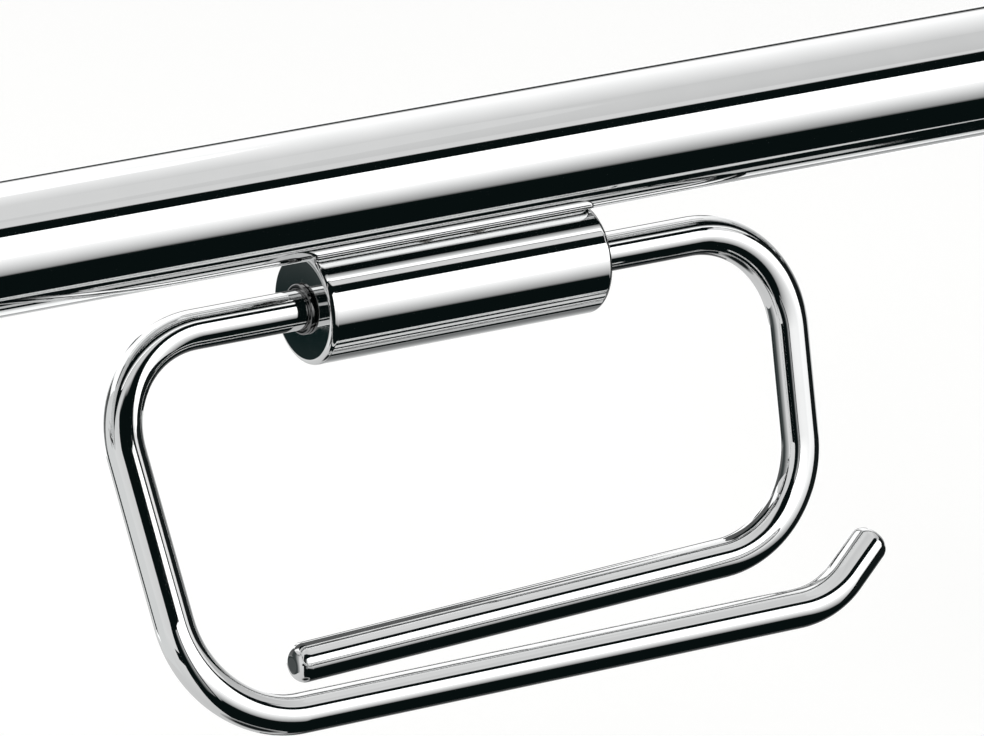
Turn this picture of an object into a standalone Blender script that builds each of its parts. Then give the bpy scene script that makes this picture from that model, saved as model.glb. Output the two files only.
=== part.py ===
# Grab bar with a toilet paper holder under it.
#
# A bent tube stands off a wall on two flanges. A short cylinder, the housing, is
# screwed against the tube from below, with a shallow groove along its top as the
# seat. A bent rod turns in each end of the housing: the roll arm, whose bar
# carries the paper roll, and the shorter brake arm, whose bar swings inside it
# and leans on the roll.
#
# Frame: metres, +Z up, the wall is the plane y = 0, the bar's axis is at z = 0,
# the room is on the -Y side, and x = 0 is midway between the flanges.

import math

import bmesh
import bpy
from mathutils import Matrix, Vector

COLLECTION_NAME = "grab_bar_toilet_paper_holder"

# Grab bar
BAR_DIAMETER = 0.032
BAR_WALL = 0.0015
BAR_CENTRES = 0.600
BAR_PROJECTION = 0.064
BAR_BEND_RADIUS = 0.048

# Wall flanges, one at each end of the bar
PLATE_DIAMETER = 0.072
PLATE_THICKNESS = 0.004
PLATE_EDGE = 0.0005
SOCKET_WALL = 0.003
SOCKET_HEIGHT = 0.008
ROSE_HEIGHT = 0.015
ROSE_THICKNESS = 0.001
ROSE_CORNER = 0.003
ROSE_WALL_GAP = 0.0003
WALL_SCREW_COUNT = 3
WALL_SCREW_INSET = 0.0085

# Screws: shank diameter, length under the head, head diameter and height,
# width across the socket's flats, and the socket's depth
WALL_SCREW = dict(shank=0.005, length=0.045, head=0.0095, height=0.0032, flats=0.003, socket=0.0018)
MOUNT_SCREW = dict(shank=0.005, length=0.030, head=0.0085, height=0.005, flats=0.004, socket=0.0025)
WALL_SCREW_POINT = 0.005
MOUNT_SCREW_POINT = 0.0005
SCREW_EDGE = 0.0004

# Grub screws: diameter, dog point's diameter and length, socket's flats and depth,
# the lock screw's length, and how deep a retaining screw sits below the housing's side
LOCK_SCREW = dict(shank=0.005, dog=0.0034, dog_length=0.0006, flats=0.0025, socket=0.0018)
LOCK_SCREW_LENGTH = 0.004
RETAINING_SCREW = dict(shank=0.004, dog=0.0025, dog_length=0.002, flats=0.002, socket=0.002)
RETAINING_SCREW_RECESS = 0.002

# Housing under the bar
HOUSING_DIAMETER = 0.028
HOUSING_LENGTH = 0.081
HOUSING_EDGE = 0.0008
PIVOT_DROP = 0.030
MOUNT_SCREW_SPACING = 0.015
MOUNT_SEAT_DEPTH = 0.008
COUNTERBORE_DIAMETER = 0.0095
WASHER_DIAMETER = 0.0088
WASHER_THICKNESS = 0.0011

# Blind rivet nuts in the tube, which the housing's screws enter
NUT_BODY_DIAMETER = 0.007
NUT_HEAD_DIAMETER = 0.0075
NUT_HEAD_HEIGHT = 0.0004
NUT_CRIMP_DIAMETER = 0.0092
NUT_CRIMP_HEIGHT = 0.0024
NUT_LENGTH = 0.011

# Bushes in the housing's ends, with the space that a sleeve leaves to the ring groove
BUSH_FLANGE_DIAMETER = 0.0125
BUSH_FLANGE_THICKNESS = 0.001
BUSH_FLANGE_EDGE = 0.0003
BUSH_SLEEVE_DIAMETER = 0.0116
BUSH_RING_CLEARANCE = 0.002

# Rods
ROD_DIAMETER = 0.010
ROD_BEND_RADIUS = 0.027
ROD_END_ROUND = 0.0032
ROD_CHAMFER = 0.0006
ARM_SPREAD = 0.1965

# Each rod's end in the housing: the wall between a mounting screw's counterbore
# and the rod's blind bore, the space behind the rod, and the rod's two grooves
BORE_END_WALL = 0.00325
ROD_END_CLEARANCE = 0.0005
RING_GROOVE_FROM_END = 0.0095
RING_GROOVE_WIDTH = 0.002
RING_CORD = 0.0014
RETAINING_GROOVE_FROM_END = 0.0045
RETAINING_GROOVE_WIDTH = 0.0032
RETAINING_GROOVE_CUT = 0.0012
GROOVE_FLARE = 0.0001

# Roll arm: distance of its bar from the pivot, its bar's length from the arm's
# axis to the tip's corner, and the tip that keeps the roll on
ROLL_BAR_REACH = 0.0962
ROLL_BAR_LENGTH = 0.1788
TIP_LENGTH = 0.023
TIP_ANGLE = math.radians(36.5)
ROLL_ARM_SWING = math.radians(36.1)

# Brake arm: the same, with a bar that droops a little towards its free end
BRAKE_BAR_REACH = 0.080
BRAKE_BAR_LENGTH = 0.152
BRAKE_BAR_DROOP = math.radians(2)
BRAKE_ARM_SWING = math.radians(16.5)

# Clearances
SEAT_GAP = 0.0002
FIT_GAP = 0.0001
RUN_GAP = 0.00004
CUT_OVERRUN = 0.002
MERGE_DISTANCE = 0.000002

# Facets
TUBE_SIDES = 32
ROD_SIDES = 24
ROUND_SIDES = 24
SMALL_SIDES = 12
BEND_STEPS = 8
CORNER_STEPS = 3
SMOOTH_ANGLE = math.radians(40)
CUTTER_TWIST = math.radians(3)


def hole_radius(radius, gap, sides):
    """The corner radius of a many-sided hole, whose flats clear a round piece by the gap."""
    return (radius + gap) / math.cos(math.pi / sides)


# Sizes that follow from the ones above
BAR_RADIUS = BAR_DIAMETER / 2
ROD_RADIUS = ROD_DIAMETER / 2
PIVOT = Vector((0, -BAR_PROJECTION, -PIVOT_DROP))
HOUSING_END = HOUSING_LENGTH / 2
BORE_END = MOUNT_SCREW_SPACING / 2 + COUNTERBORE_DIAMETER / 2 + BORE_END_WALL
ROD_START = BORE_END + ROD_END_CLEARANCE
RING_GROOVE_PLACE = ROD_START + RING_GROOVE_FROM_END
RETAINING_GROOVE_PLACE = ROD_START + RETAINING_GROOVE_FROM_END
SLEEVE_START = RING_GROOVE_PLACE + RING_GROOVE_WIDTH / 2 + BUSH_RING_CLEARANCE
FLANGE_CENTRE = BAR_CENTRES / 2
WALL_SCREW_RADIUS = PLATE_DIAMETER / 2 - WALL_SCREW_INSET
RETAINING_GROOVE_FLOOR = ROD_RADIUS - RETAINING_GROOVE_CUT
RETAINING_SCREW_TOP = RETAINING_GROOVE_FLOOR + SEAT_GAP
RETAINING_SCREW_LENGTH = HOUSING_DIAMETER / 2 - RETAINING_SCREW_RECESS - RETAINING_SCREW_TOP
SOCKET_RADIUS = hole_radius(BAR_RADIUS, FIT_GAP, TUBE_SIDES)
SADDLE_RADIUS = hole_radius(BAR_RADIUS, SEAT_GAP, TUBE_SIDES)
BORE_RADIUS = hole_radius(ROD_RADIUS, RUN_GAP, ROUND_SIDES)

# Directions in which a turned piece's axis can point
ALONG_X = (0, math.pi / 2, 0)
AGAINST_X = (0, -math.pi / 2, 0)
OFF_THE_WALL = (math.pi / 2, 0, 0)
UPWARD = (0, 0, 0)

SIDE_NAMES = {-1: "left", 1: "right"}


# Scene

def clear_scene():
    for obj in list(bpy.data.objects):
        bpy.data.objects.remove(obj, do_unlink=True)


def new_collection(name):
    collection = bpy.data.collections.new(name)
    bpy.context.scene.collection.children.link(collection)
    return collection


def new_material(name, colour, roughness, metallic):
    material = bpy.data.materials.new(name)
    material.use_nodes = True
    shader = material.node_tree.nodes["Principled BSDF"]
    shader.inputs["Base Color"].default_value = (*colour, 1)
    shader.inputs["Roughness"].default_value = roughness
    shader.inputs["Metallic"].default_value = metallic
    material.diffuse_color = (*colour, 1)
    return material


# Shapes

def arc(centre, radius, start, end, steps):
    """Points on a circle in a flat outline, from angle start to angle end."""
    points = []
    for step in range(steps + 1):
        angle = start + (end - start) * step / steps
        points.append((centre[0] + radius * math.cos(angle), centre[1] + radius * math.sin(angle)))
    return points


def outer_edge_top(radius, height, round_radius):
    """A rounded edge from a top face down onto a side, as radius and height."""
    centre = (radius - round_radius, height - round_radius)
    return arc(centre, round_radius, math.pi / 2, 0, CORNER_STEPS)


def outer_edge_bottom(radius, height, round_radius):
    """A rounded edge from a side down onto a bottom face."""
    centre = (radius - round_radius, height + round_radius)
    return arc(centre, round_radius, 0, -math.pi / 2, CORNER_STEPS)


def turned(name, outline, sides=ROUND_SIDES, twist=0):
    """An outline of (radius, height) points turned about Z. It runs down its
    outer side, and closes on itself where it stays off the axis."""
    across = Vector((math.cos(twist), math.sin(twist), 0))
    count = len(outline)
    edges = [(i, i + 1) for i in range(count - 1)]
    if outline[0][0] > 0:
        edges.append((count - 1, 0))
    mesh = bpy.data.meshes.new(name)
    mesh.from_pydata([across * radius + Vector((0, 0, height)) for radius, height in outline], edges, [])
    obj = bpy.data.objects.new(name, mesh)
    screw = obj.modifiers.new("Turn", "SCREW")
    screw.steps = sides
    screw.render_steps = sides
    screw.use_merge_vertices = True
    screw.merge_threshold = MERGE_DISTANCE
    return obj


def hexagon(name, flats, depth):
    """A six-sided key hole's cutter, from z = 0 up by its depth."""
    mesh = bpy.data.meshes.new(name)
    bm = bmesh.new()
    corner = flats / math.sqrt(3)
    height = depth + CUT_OVERRUN
    centre = Matrix.Translation((0, 0, height / 2 - CUT_OVERRUN))
    bmesh.ops.create_cone(
        bm, cap_ends=True, segments=6, radius1=corner, radius2=corner, depth=height, matrix=centre
    )
    bm.to_mesh(mesh)
    bm.free()
    return bpy.data.objects.new(name, mesh)


def bent_path(corners, bend_radius):
    """Points along straight runs between the corners, with an arc at each inner one."""
    points = [corners[0].copy()]
    for before, corner, after in zip(corners, corners[1:], corners[2:]):
        arriving = (corner - before).normalized()
        leaving = (after - corner).normalized()
        angle = arriving.angle(leaving)
        start = corner - arriving * bend_radius * math.tan(angle / 2)
        inward = (leaving - arriving * leaving.dot(arriving)).normalized()
        centre = start + inward * bend_radius
        for step in range(BEND_STEPS + 1):
            turn = angle * step / BEND_STEPS
            points.append(centre + bend_radius * (arriving * math.sin(turn) - inward * math.cos(turn)))
    points.append(corners[-1].copy())
    return points


def swept(name, rings, sides, capped):
    """A round bar along (point, radius) rings, as a mesh."""
    curve = bpy.data.curves.new(name, "CURVE")
    curve.dimensions = "3D"
    curve.twist_mode = "MINIMUM"
    curve.bevel_depth = 1
    curve.bevel_resolution = sides // 2 - 2
    curve.use_fill_caps = capped
    spline = curve.splines.new("POLY")
    spline.points.add(len(rings) - 1)
    for place, (point, radius) in zip(spline.points, rings):
        place.co = (*point, 1)
        place.radius = radius
    guide = bpy.data.objects.new(name + "_curve", curve)
    bpy.context.scene.collection.objects.link(guide)
    mesh = evaluated_mesh(guide)
    bpy.data.objects.remove(guide)
    bm = bmesh.new()
    bm.from_mesh(mesh)
    bmesh.ops.remove_doubles(bm, verts=bm.verts, dist=MERGE_DISTANCE)
    bm.to_mesh(mesh)
    bm.free()
    return bpy.data.objects.new(name, mesh)


def evaluated_mesh(obj):
    depsgraph = bpy.context.evaluated_depsgraph_get()
    return bpy.data.meshes.new_from_object(obj.evaluated_get(depsgraph))


# Placing

def place(obj, collection, location, rotation=UPWARD):
    collection.objects.link(obj)
    obj.location = location
    obj.rotation_euler = rotation
    return obj


def place_cutter(obj, collection, location, rotation=UPWARD):
    place(obj, collection, location, rotation)
    obj.hide_render = True
    obj.display_type = "WIRE"
    return obj


def drill(name, outline, cutters, location, rotation=UPWARD, sides=SMALL_SIDES):
    """A turned cutter, with its facets turned off those of the piece that it cuts."""
    return place_cutter(turned(name, outline, sides, CUTTER_TWIST), cutters, location, rotation)


def cut(obj, cutters):
    for cutter in cutters:
        boolean = obj.modifiers.new("Cut " + cutter.name, "BOOLEAN")
        boolean.operation = "DIFFERENCE"
        boolean.solver = "EXACT"
        boolean.object = cutter


def settle(obj, material):
    """Keep the shape that the modifiers give, shaded smooth with sharp edges."""
    bpy.context.view_layer.update()
    mesh = evaluated_mesh(obj)
    mesh.name = obj.name
    obj.modifiers.clear()
    obj.data = mesh
    mesh.materials.clear()
    mesh.materials.append(material)
    mesh.shade_smooth()
    mesh.set_sharp_from_angle(angle=SMOOTH_ANGLE)


# Fasteners

def headed_screw(name, size, point, parts, cutters, location, rotation, material):
    """A round-headed socket screw. Its head's face is at z = 0, below its shank."""
    head = size["head"] / 2
    shank = size["shank"] / 2
    seat = size["height"]
    end = seat + size["length"]
    outline = [(0, end), (shank / 2, end), (shank, end - point), (shank, seat)]
    outline += [(head, seat)] + outer_edge_bottom(head, 0, SCREW_EDGE) + [(0, 0)]
    screw = place(turned(name, outline, SMALL_SIDES), parts, location, rotation)
    key = hexagon(name + "_key", size["flats"], size["socket"])
    cut(screw, [place_cutter(key, cutters, location, rotation)])
    settle(screw, material)


def grub_screw(name, size, length, parts, cutters, location, material):
    """A headless socket screw with a dog point, driven upwards from z = 0."""
    shank = size["shank"] / 2
    dog = size["dog"] / 2
    shoulder = length - size["dog_length"]
    outline = [(0, length), (dog, length), (dog, shoulder), (shank, shoulder)]
    outline += outer_edge_bottom(shank, 0, SCREW_EDGE) + [(0, 0)]
    screw = place(turned(name, outline, SMALL_SIDES), parts, location)
    key = hexagon(name + "_key", size["flats"], size["socket"])
    cut(screw, [place_cutter(key, cutters, location)])
    settle(screw, material)


# Grab bar and its flanges

def mount_screw_places():
    return [Vector((side * MOUNT_SCREW_SPACING / 2, 0, 0)) + PIVOT for side in (-1, 1)]


def bar_axis_over(place_below):
    """The point of the bar's axis above a point of the pivot's axis."""
    return place_below + Vector((0, 0, PIVOT_DROP))


def make_bar(parts, cutters, chrome):
    end_y = -PLATE_THICKNESS - SEAT_GAP
    corners = [
        Vector((-FLANGE_CENTRE, end_y, 0)),
        Vector((-FLANGE_CENTRE, -BAR_PROJECTION, 0)),
        Vector((FLANGE_CENTRE, -BAR_PROJECTION, 0)),
        Vector((FLANGE_CENTRE, end_y, 0)),
    ]
    rings = [(point, BAR_RADIUS) for point in bent_path(corners, BAR_BEND_RADIUS)]
    bar = place(swept("grab_bar_tube", rings, TUBE_SIDES, capped=False), parts, (0, 0, 0))
    wall = bar.modifiers.new("Wall", "SOLIDIFY")
    wall.thickness = BAR_WALL
    wall.offset = -1
    wall.use_even_offset = True
    holes = []
    for side, place_below in zip((-1, 1), mount_screw_places()):
        holes.append(nut_hole_cutter(side, bar_axis_over(place_below), cutters))
    cut(bar, holes)
    settle(bar, chrome)


def nut_hole_cutter(side, location, cutters):
    """A hole in the tube's underside, countersunk for the rivet nut's head."""
    radius = hole_radius(NUT_BODY_DIAMETER / 2, FIT_GAP, SMALL_SIDES)
    sink = hole_radius(NUT_HEAD_DIAMETER / 2, FIT_GAP, SMALL_SIDES)
    sink_bottom = -BAR_RADIUS + FIT_GAP
    sink_top = sink_bottom + NUT_HEAD_HEIGHT
    bottom = -BAR_RADIUS - CUT_OVERRUN
    outline = [(0, 0), (radius, 0), (radius, sink_top), (sink, sink_bottom), (sink, bottom), (0, bottom)]
    return drill("nut_hole_cutter_" + SIDE_NAMES[side], outline, cutters, location)


def drum(radius, bottom, top):
    """The outline of a plain cylinder."""
    return [(0, top), (radius, top), (radius, bottom), (0, bottom)]


def make_plate(side, parts, cutters, steel):
    """The flange plate, with the socket that holds the bar's end."""
    name = "wall_plate_" + SIDE_NAMES[side]
    location = Vector((side * FLANGE_CENTRE, 0, 0))
    rim = PLATE_DIAMETER / 2
    socket = SOCKET_RADIUS + SOCKET_WALL
    top = PLATE_THICKNESS + SOCKET_HEIGHT
    outline = [(0, PLATE_THICKNESS), (SOCKET_RADIUS, PLATE_THICKNESS), (SOCKET_RADIUS, top)]
    outline += outer_edge_top(socket, top, PLATE_EDGE) + [(socket, PLATE_THICKNESS)]
    outline += outer_edge_top(rim, PLATE_THICKNESS, PLATE_EDGE) + [(rim, 0), (0, 0)]
    plate = place(turned(name, outline, TUBE_SIDES), parts, location, OFF_THE_WALL)
    holes = [lock_screw_hole(side, location, cutters)]
    for index, centre in enumerate(wall_screw_places(side)):
        radius = hole_radius(WALL_SCREW["shank"] / 2, SEAT_GAP, SMALL_SIDES)
        outline = drum(radius, -CUT_OVERRUN, top)
        holes.append(drill(f"{name}_hole_{index}", outline, cutters, centre, OFF_THE_WALL))
    cut(plate, holes)
    settle(plate, steel)


def lock_screw_start(location):
    """Where the lock screw's socket end lies, under the bar's end."""
    depth = PLATE_THICKNESS + SOCKET_HEIGHT / 2
    return location + Vector((0, -depth, -SOCKET_RADIUS - LOCK_SCREW_LENGTH))


def lock_screw_hole(side, location, cutters):
    radius = hole_radius(LOCK_SCREW["shank"] / 2, FIT_GAP, SMALL_SIDES)
    top = LOCK_SCREW_LENGTH + BAR_WALL
    name = "lock_screw_hole_" + SIDE_NAMES[side]
    return drill(name, drum(radius, -CUT_OVERRUN, top), cutters, lock_screw_start(location))


def wall_screw_places(side):
    """Screw axes on the wall plane, evenly round the flange, the first on top."""
    places = []
    for index in range(WALL_SCREW_COUNT):
        angle = math.pi / 2 + index * math.tau / WALL_SCREW_COUNT
        x = side * FLANGE_CENTRE + WALL_SCREW_RADIUS * math.cos(angle)
        places.append(Vector((x, 0, WALL_SCREW_RADIUS * math.sin(angle))))
    return places


def make_wall_screws(side, parts, cutters, steel):
    head_face = -PLATE_THICKNESS - SEAT_GAP - WALL_SCREW["height"]
    into_the_wall = (-math.pi / 2, 0, 0)
    for index, centre in enumerate(wall_screw_places(side), start=1):
        name = f"wall_screw_{SIDE_NAMES[side]}_{index}"
        location = centre + Vector((0, head_face, 0))
        headed_screw(
            name, WALL_SCREW, WALL_SCREW_POINT, parts, cutters, location, into_the_wall, steel
        )


def make_lock_screw(side, parts, cutters, steel):
    name = "bar_lock_screw_" + SIDE_NAMES[side]
    location = lock_screw_start(Vector((side * FLANGE_CENTRE, 0, 0)))
    grub_screw(name, LOCK_SCREW, LOCK_SCREW_LENGTH, parts, cutters, location, steel)


def make_rose(side, parts, chrome):
    """The round cover that slides along the bar and snaps over the plate."""
    inner = hole_radius(PLATE_DIAMETER / 2, SEAT_GAP, TUBE_SIDES)
    outer = inner + ROSE_THICKNESS
    hole = hole_radius(BAR_RADIUS, SEAT_GAP, TUBE_SIDES)
    under = ROSE_HEIGHT - ROSE_THICKNESS
    inner_corner = ROSE_CORNER - ROSE_THICKNESS
    outline = [(hole, ROSE_HEIGHT)] + outer_edge_top(outer, ROSE_HEIGHT, ROSE_CORNER)
    outline += [(outer, ROSE_WALL_GAP), (inner, ROSE_WALL_GAP)]
    centre = (inner - inner_corner, under - inner_corner)
    outline += arc(centre, inner_corner, 0, math.pi / 2, CORNER_STEPS) + [(hole, under)]
    rose = turned("cover_rose_" + SIDE_NAMES[side], outline, TUBE_SIDES)
    place(rose, parts, (side * FLANGE_CENTRE, 0, 0), OFF_THE_WALL)
    settle(rose, chrome)


# Housing and what fastens it

def make_housing(parts, cutters, chrome):
    radius = HOUSING_DIAMETER / 2
    outline = [(0, HOUSING_END)] + outer_edge_top(radius, HOUSING_END, HOUSING_EDGE)
    outline += outer_edge_bottom(radius, -HOUSING_END, HOUSING_EDGE) + [(0, -HOUSING_END)]
    housing = place(turned("housing", outline, TUBE_SIDES), parts, PIVOT, ALONG_X)
    tools = [saddle_cutter(cutters)]
    for side, place_below in zip((-1, 1), mount_screw_places()):
        tools.append(bore_cutter(side, cutters))
        tools.append(mount_hole_cutter(side, place_below, cutters))
        tools.append(retaining_hole_cutter(side, cutters))
    cut(housing, tools)
    settle(housing, chrome)


def saddle_cutter(cutters):
    """The groove that seats the bar's underside."""
    reach = HOUSING_END + CUT_OVERRUN
    outline = drum(SADDLE_RADIUS, -reach, reach)
    return drill("saddle_cutter", outline, cutters, bar_axis_over(PIVOT), ALONG_X, TUBE_SIDES)


def bore_cutter(side, cutters):
    """The stepped bore in one end, for the bush and the rod's end behind it."""
    seat = hole_radius(BUSH_SLEEVE_DIAMETER / 2, FIT_GAP, ROUND_SIDES)
    step = SLEEVE_START - SEAT_GAP
    outline = [(0, HOUSING_END + CUT_OVERRUN), (seat, HOUSING_END + CUT_OVERRUN), (seat, step)]
    outline += [(BORE_RADIUS, step), (BORE_RADIUS, BORE_END), (0, BORE_END)]
    facing = ALONG_X if side > 0 else AGAINST_X
    return drill("bore_cutter_" + SIDE_NAMES[side], outline, cutters, PIVOT, facing, ROUND_SIDES)


def screw_seat_height():
    """The height of the counterbore's floor above the pivot's axis."""
    return MOUNT_SEAT_DEPTH - HOUSING_DIAMETER / 2


def mount_hole_cutter(side, location, cutters):
    """A hole through the housing, counterbored from below."""
    counterbore = COUNTERBORE_DIAMETER / 2
    shank = hole_radius(MOUNT_SCREW["shank"] / 2, SEAT_GAP, ROUND_SIDES)
    top = HOUSING_DIAMETER / 2 + CUT_OVERRUN
    bottom = -HOUSING_DIAMETER / 2 - CUT_OVERRUN
    outline = [(0, top), (shank, top), (shank, screw_seat_height())]
    outline += [(counterbore, screw_seat_height())]
    outline += [(counterbore, bottom), (0, bottom)]
    return drill("mount_hole_cutter_" + SIDE_NAMES[side], outline, cutters, location, sides=ROUND_SIDES)


def retaining_screw_start(side):
    """Where the retaining screw's socket end lies, under its groove in the rod."""
    depth = RETAINING_SCREW_TOP + RETAINING_SCREW_LENGTH
    return PIVOT + Vector((side * RETAINING_GROOVE_PLACE, 0, -depth))


def retaining_hole_cutter(side, cutters):
    radius = hole_radius(RETAINING_SCREW["shank"] / 2, FIT_GAP, SMALL_SIDES)
    start = retaining_screw_start(side)
    bottom = PIVOT.z - HOUSING_DIAMETER / 2 - CUT_OVERRUN - start.z
    top = PIVOT.z - start.z
    return drill("retaining_hole_cutter_" + SIDE_NAMES[side], drum(radius, bottom, top), cutters, start)


def make_bush(side, parts, acetal):
    """The plain bearing in one end of the housing, with its flange outside."""
    bore = BORE_RADIUS
    sleeve = BUSH_SLEEVE_DIAMETER / 2
    face = HOUSING_END + SEAT_GAP
    top = face + BUSH_FLANGE_THICKNESS
    outline = [(bore, top)] + outer_edge_top(BUSH_FLANGE_DIAMETER / 2, top, BUSH_FLANGE_EDGE)
    outline += [(BUSH_FLANGE_DIAMETER / 2, face), (sleeve, face)]
    outline += [(sleeve, SLEEVE_START), (bore, SLEEVE_START)]
    bush = turned("bush_" + SIDE_NAMES[side], outline, ROUND_SIDES)
    place(bush, parts, PIVOT, ALONG_X if side > 0 else AGAINST_X)
    settle(bush, acetal)


def make_retaining_screw(side, parts, cutters, steel):
    name = "retaining_screw_" + SIDE_NAMES[side]
    start = retaining_screw_start(side)
    grub_screw(name, RETAINING_SCREW, RETAINING_SCREW_LENGTH, parts, cutters, start, steel)


def make_mount_fixings(parts, cutters, steel):
    """The screws, washers and rivet nuts that hold the housing against the bar."""
    for side, axis_point in zip((-1, 1), mount_screw_places()):
        washer_top = screw_seat_height() - SEAT_GAP
        washer_bottom = washer_top - WASHER_THICKNESS
        make_washer(side, axis_point + Vector((0, 0, washer_bottom)), parts, steel)
        head_face = washer_bottom - SEAT_GAP - MOUNT_SCREW["height"]
        headed_screw(
            "mount_screw_" + SIDE_NAMES[side], MOUNT_SCREW, MOUNT_SCREW_POINT, parts, cutters,
            axis_point + Vector((0, 0, head_face)), UPWARD, steel,
        )
        make_rivet_nut(side, bar_axis_over(axis_point), parts, steel)


def make_washer(side, location, parts, steel):
    outer = WASHER_DIAMETER / 2
    inner = hole_radius(MOUNT_SCREW["shank"] / 2, SEAT_GAP, SMALL_SIDES)
    outline = [(inner, WASHER_THICKNESS), (outer, WASHER_THICKNESS), (outer, 0), (inner, 0)]
    washer = place(turned("washer_" + SIDE_NAMES[side], outline, SMALL_SIDES), parts, location)
    settle(washer, steel)


def make_rivet_nut(side, bar_axis, parts, steel):
    """A blind nut crimped in the tube's wall, its countersunk head flush underneath."""
    bore = hole_radius(MOUNT_SCREW["shank"] / 2, FIT_GAP, SMALL_SIDES)
    body = NUT_BODY_DIAMETER / 2
    head = NUT_HEAD_DIAMETER / 2
    crimp = NUT_CRIMP_DIAMETER / 2
    head_bottom = -BAR_RADIUS
    head_top = head_bottom + NUT_HEAD_HEIGHT
    crimp_middle = -BAR_RADIUS + BAR_WALL + NUT_CRIMP_HEIGHT
    end = head_bottom + NUT_LENGTH
    outline = [(bore, end), (body, end), (body, crimp_middle + NUT_CRIMP_HEIGHT / 2)]
    outline += [(crimp, crimp_middle), (body, crimp_middle - NUT_CRIMP_HEIGHT / 2)]
    outline += [(body, head_top), (head, head_bottom), (bore, head_bottom)]
    nut = place(turned("rivet_nut_" + SIDE_NAMES[side], outline, SMALL_SIDES), parts, bar_axis)
    settle(nut, steel)


# Rods

def groove_rings(start, along, middle, width, cut_depth):
    """The four rings of a square groove, whose middle is at a distance from the rod's end."""
    near = middle - width / 2
    far = middle + width / 2
    floor = ROD_RADIUS - cut_depth
    return [
        (start + along * near, ROD_RADIUS),
        (start + along * (near + GROOVE_FLARE), floor),
        (start + along * (far - GROOVE_FLARE), floor),
        (start + along * far, ROD_RADIUS),
    ]


def ring_groove_cut():
    return RING_CORD + FIT_GAP


def inner_end_rings(start, along):
    """The rod's end in the housing: a chamfer and two grooves."""
    rings = [(start, ROD_RADIUS - ROD_CHAMFER), (start + along * ROD_CHAMFER, ROD_RADIUS)]
    rings += groove_rings(
        start, along, RETAINING_GROOVE_FROM_END, RETAINING_GROOVE_WIDTH, RETAINING_GROOVE_CUT
    )
    rings += groove_rings(start, along, RING_GROOVE_FROM_END, RING_GROOVE_WIDTH, ring_groove_cut())
    return rings


def free_end_rings(end, along):
    """The rod's rounded free end, with a small flat."""
    rings = []
    for radius, height in outer_edge_top(ROD_RADIUS, 0, ROD_END_ROUND)[::-1]:
        rings.append((end + along * height, radius))
    return rings


def make_rod(name, corners, parts, swing, chrome):
    """A rod bent at its corners, hanging from the pivot and swung forward."""
    first = (corners[1] - corners[0]).normalized()
    last = (corners[-1] - corners[-2]).normalized()
    bends = bent_path(corners, ROD_BEND_RADIUS)[1:-1]
    rings = inner_end_rings(corners[0], first)
    rings += [(point, ROD_RADIUS) for point in bends]
    rings += free_end_rings(corners[-1], last)
    rod = swept(name, rings, ROD_SIDES, capped=True)
    place(rod, parts, PIVOT, (-swing, 0, 0))
    settle(rod, chrome)


def arm_corners(side, reach):
    """The rod's start in the housing, and its first two corners."""
    start = Vector((side * ROD_START, 0, 0))
    top = Vector((side * ARM_SPREAD / 2, 0, 0))
    return [start, top, top + Vector((0, 0, -reach))]


def make_roll_arm(parts, chrome):
    corners = arm_corners(-1, ROLL_BAR_REACH)
    tip_corner = corners[-1] + Vector((ROLL_BAR_LENGTH, 0, 0))
    tip = Vector((math.cos(TIP_ANGLE), 0, math.sin(TIP_ANGLE)))
    corners += [tip_corner, tip_corner + tip * TIP_LENGTH]
    make_rod("roll_arm", corners, parts, ROLL_ARM_SWING, chrome)


def make_brake_arm(parts, chrome):
    corners = arm_corners(1, BRAKE_BAR_REACH)
    along = Vector((-math.cos(BRAKE_BAR_DROOP), 0, -math.sin(BRAKE_BAR_DROOP)))
    corners.append(corners[-1] + along * BRAKE_BAR_LENGTH)
    make_rod("brake_arm", corners, parts, BRAKE_ARM_SWING, chrome)


def make_friction_ring(side, parts, rubber):
    """The rubber ring in the rod's groove, which holds the arm where it is put."""
    cord = RING_CORD / 2
    middle = ROD_RADIUS - ring_groove_cut() / 2
    bpy.ops.mesh.primitive_torus_add(
        major_radius=middle, minor_radius=cord, major_segments=ROD_SIDES, minor_segments=8
    )
    ring = bpy.context.object
    for owner in list(ring.users_collection):
        owner.objects.unlink(ring)
    ring.name = "friction_ring_" + SIDE_NAMES[side]
    place(ring, parts, PIVOT + Vector((side * RING_GROOVE_PLACE, 0, 0)), ALONG_X)
    settle(ring, rubber)


def main():
    clear_scene()
    parts = new_collection(COLLECTION_NAME)
    cutters = new_collection("cutters")
    chrome = new_material("polished_chrome", (0.78, 0.80, 0.81), 0.04, 1)
    steel = new_material("stainless_steel", (0.60, 0.60, 0.59), 0.3, 1)
    acetal = new_material("black_acetal", (0.012, 0.013, 0.014), 0.3, 0)
    rubber = new_material("black_rubber", (0.02, 0.02, 0.02), 0.7, 0)

    make_bar(parts, cutters, chrome)
    for side in (-1, 1):
        make_plate(side, parts, cutters, steel)
        make_wall_screws(side, parts, cutters, steel)
        make_lock_screw(side, parts, cutters, steel)
        make_rose(side, parts, chrome)

    make_housing(parts, cutters, chrome)
    make_mount_fixings(parts, cutters, steel)
    for side in (-1, 1):
        make_bush(side, parts, acetal)
        make_retaining_screw(side, parts, cutters, steel)
        make_friction_ring(side, parts, rubber)

    make_roll_arm(parts, chrome)
    make_brake_arm(parts, chrome)


main()
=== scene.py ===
# %% [markdown]
# # A chrome grab bar with a toilet paper holder
#
# The object is bathroom hardware. A bent tube stands off the wall between two flanges, as a
# grab bar does. A short cylinder, the housing, is screwed up against the tube from below, and a
# bent rod turns in each of its ends: the roll arm, which carries the paper, and the shorter brake
# arm, which rests on the roll.
#
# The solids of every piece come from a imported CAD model. That model is made of flat facets, which
# is enough for sizes and for physics, but polished chrome shows each facet as a broken
# reflection. So this script leaves the solids where they are and makes a fine surface for each
# one, at the same sizes, and then gives it a real finish.

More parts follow.
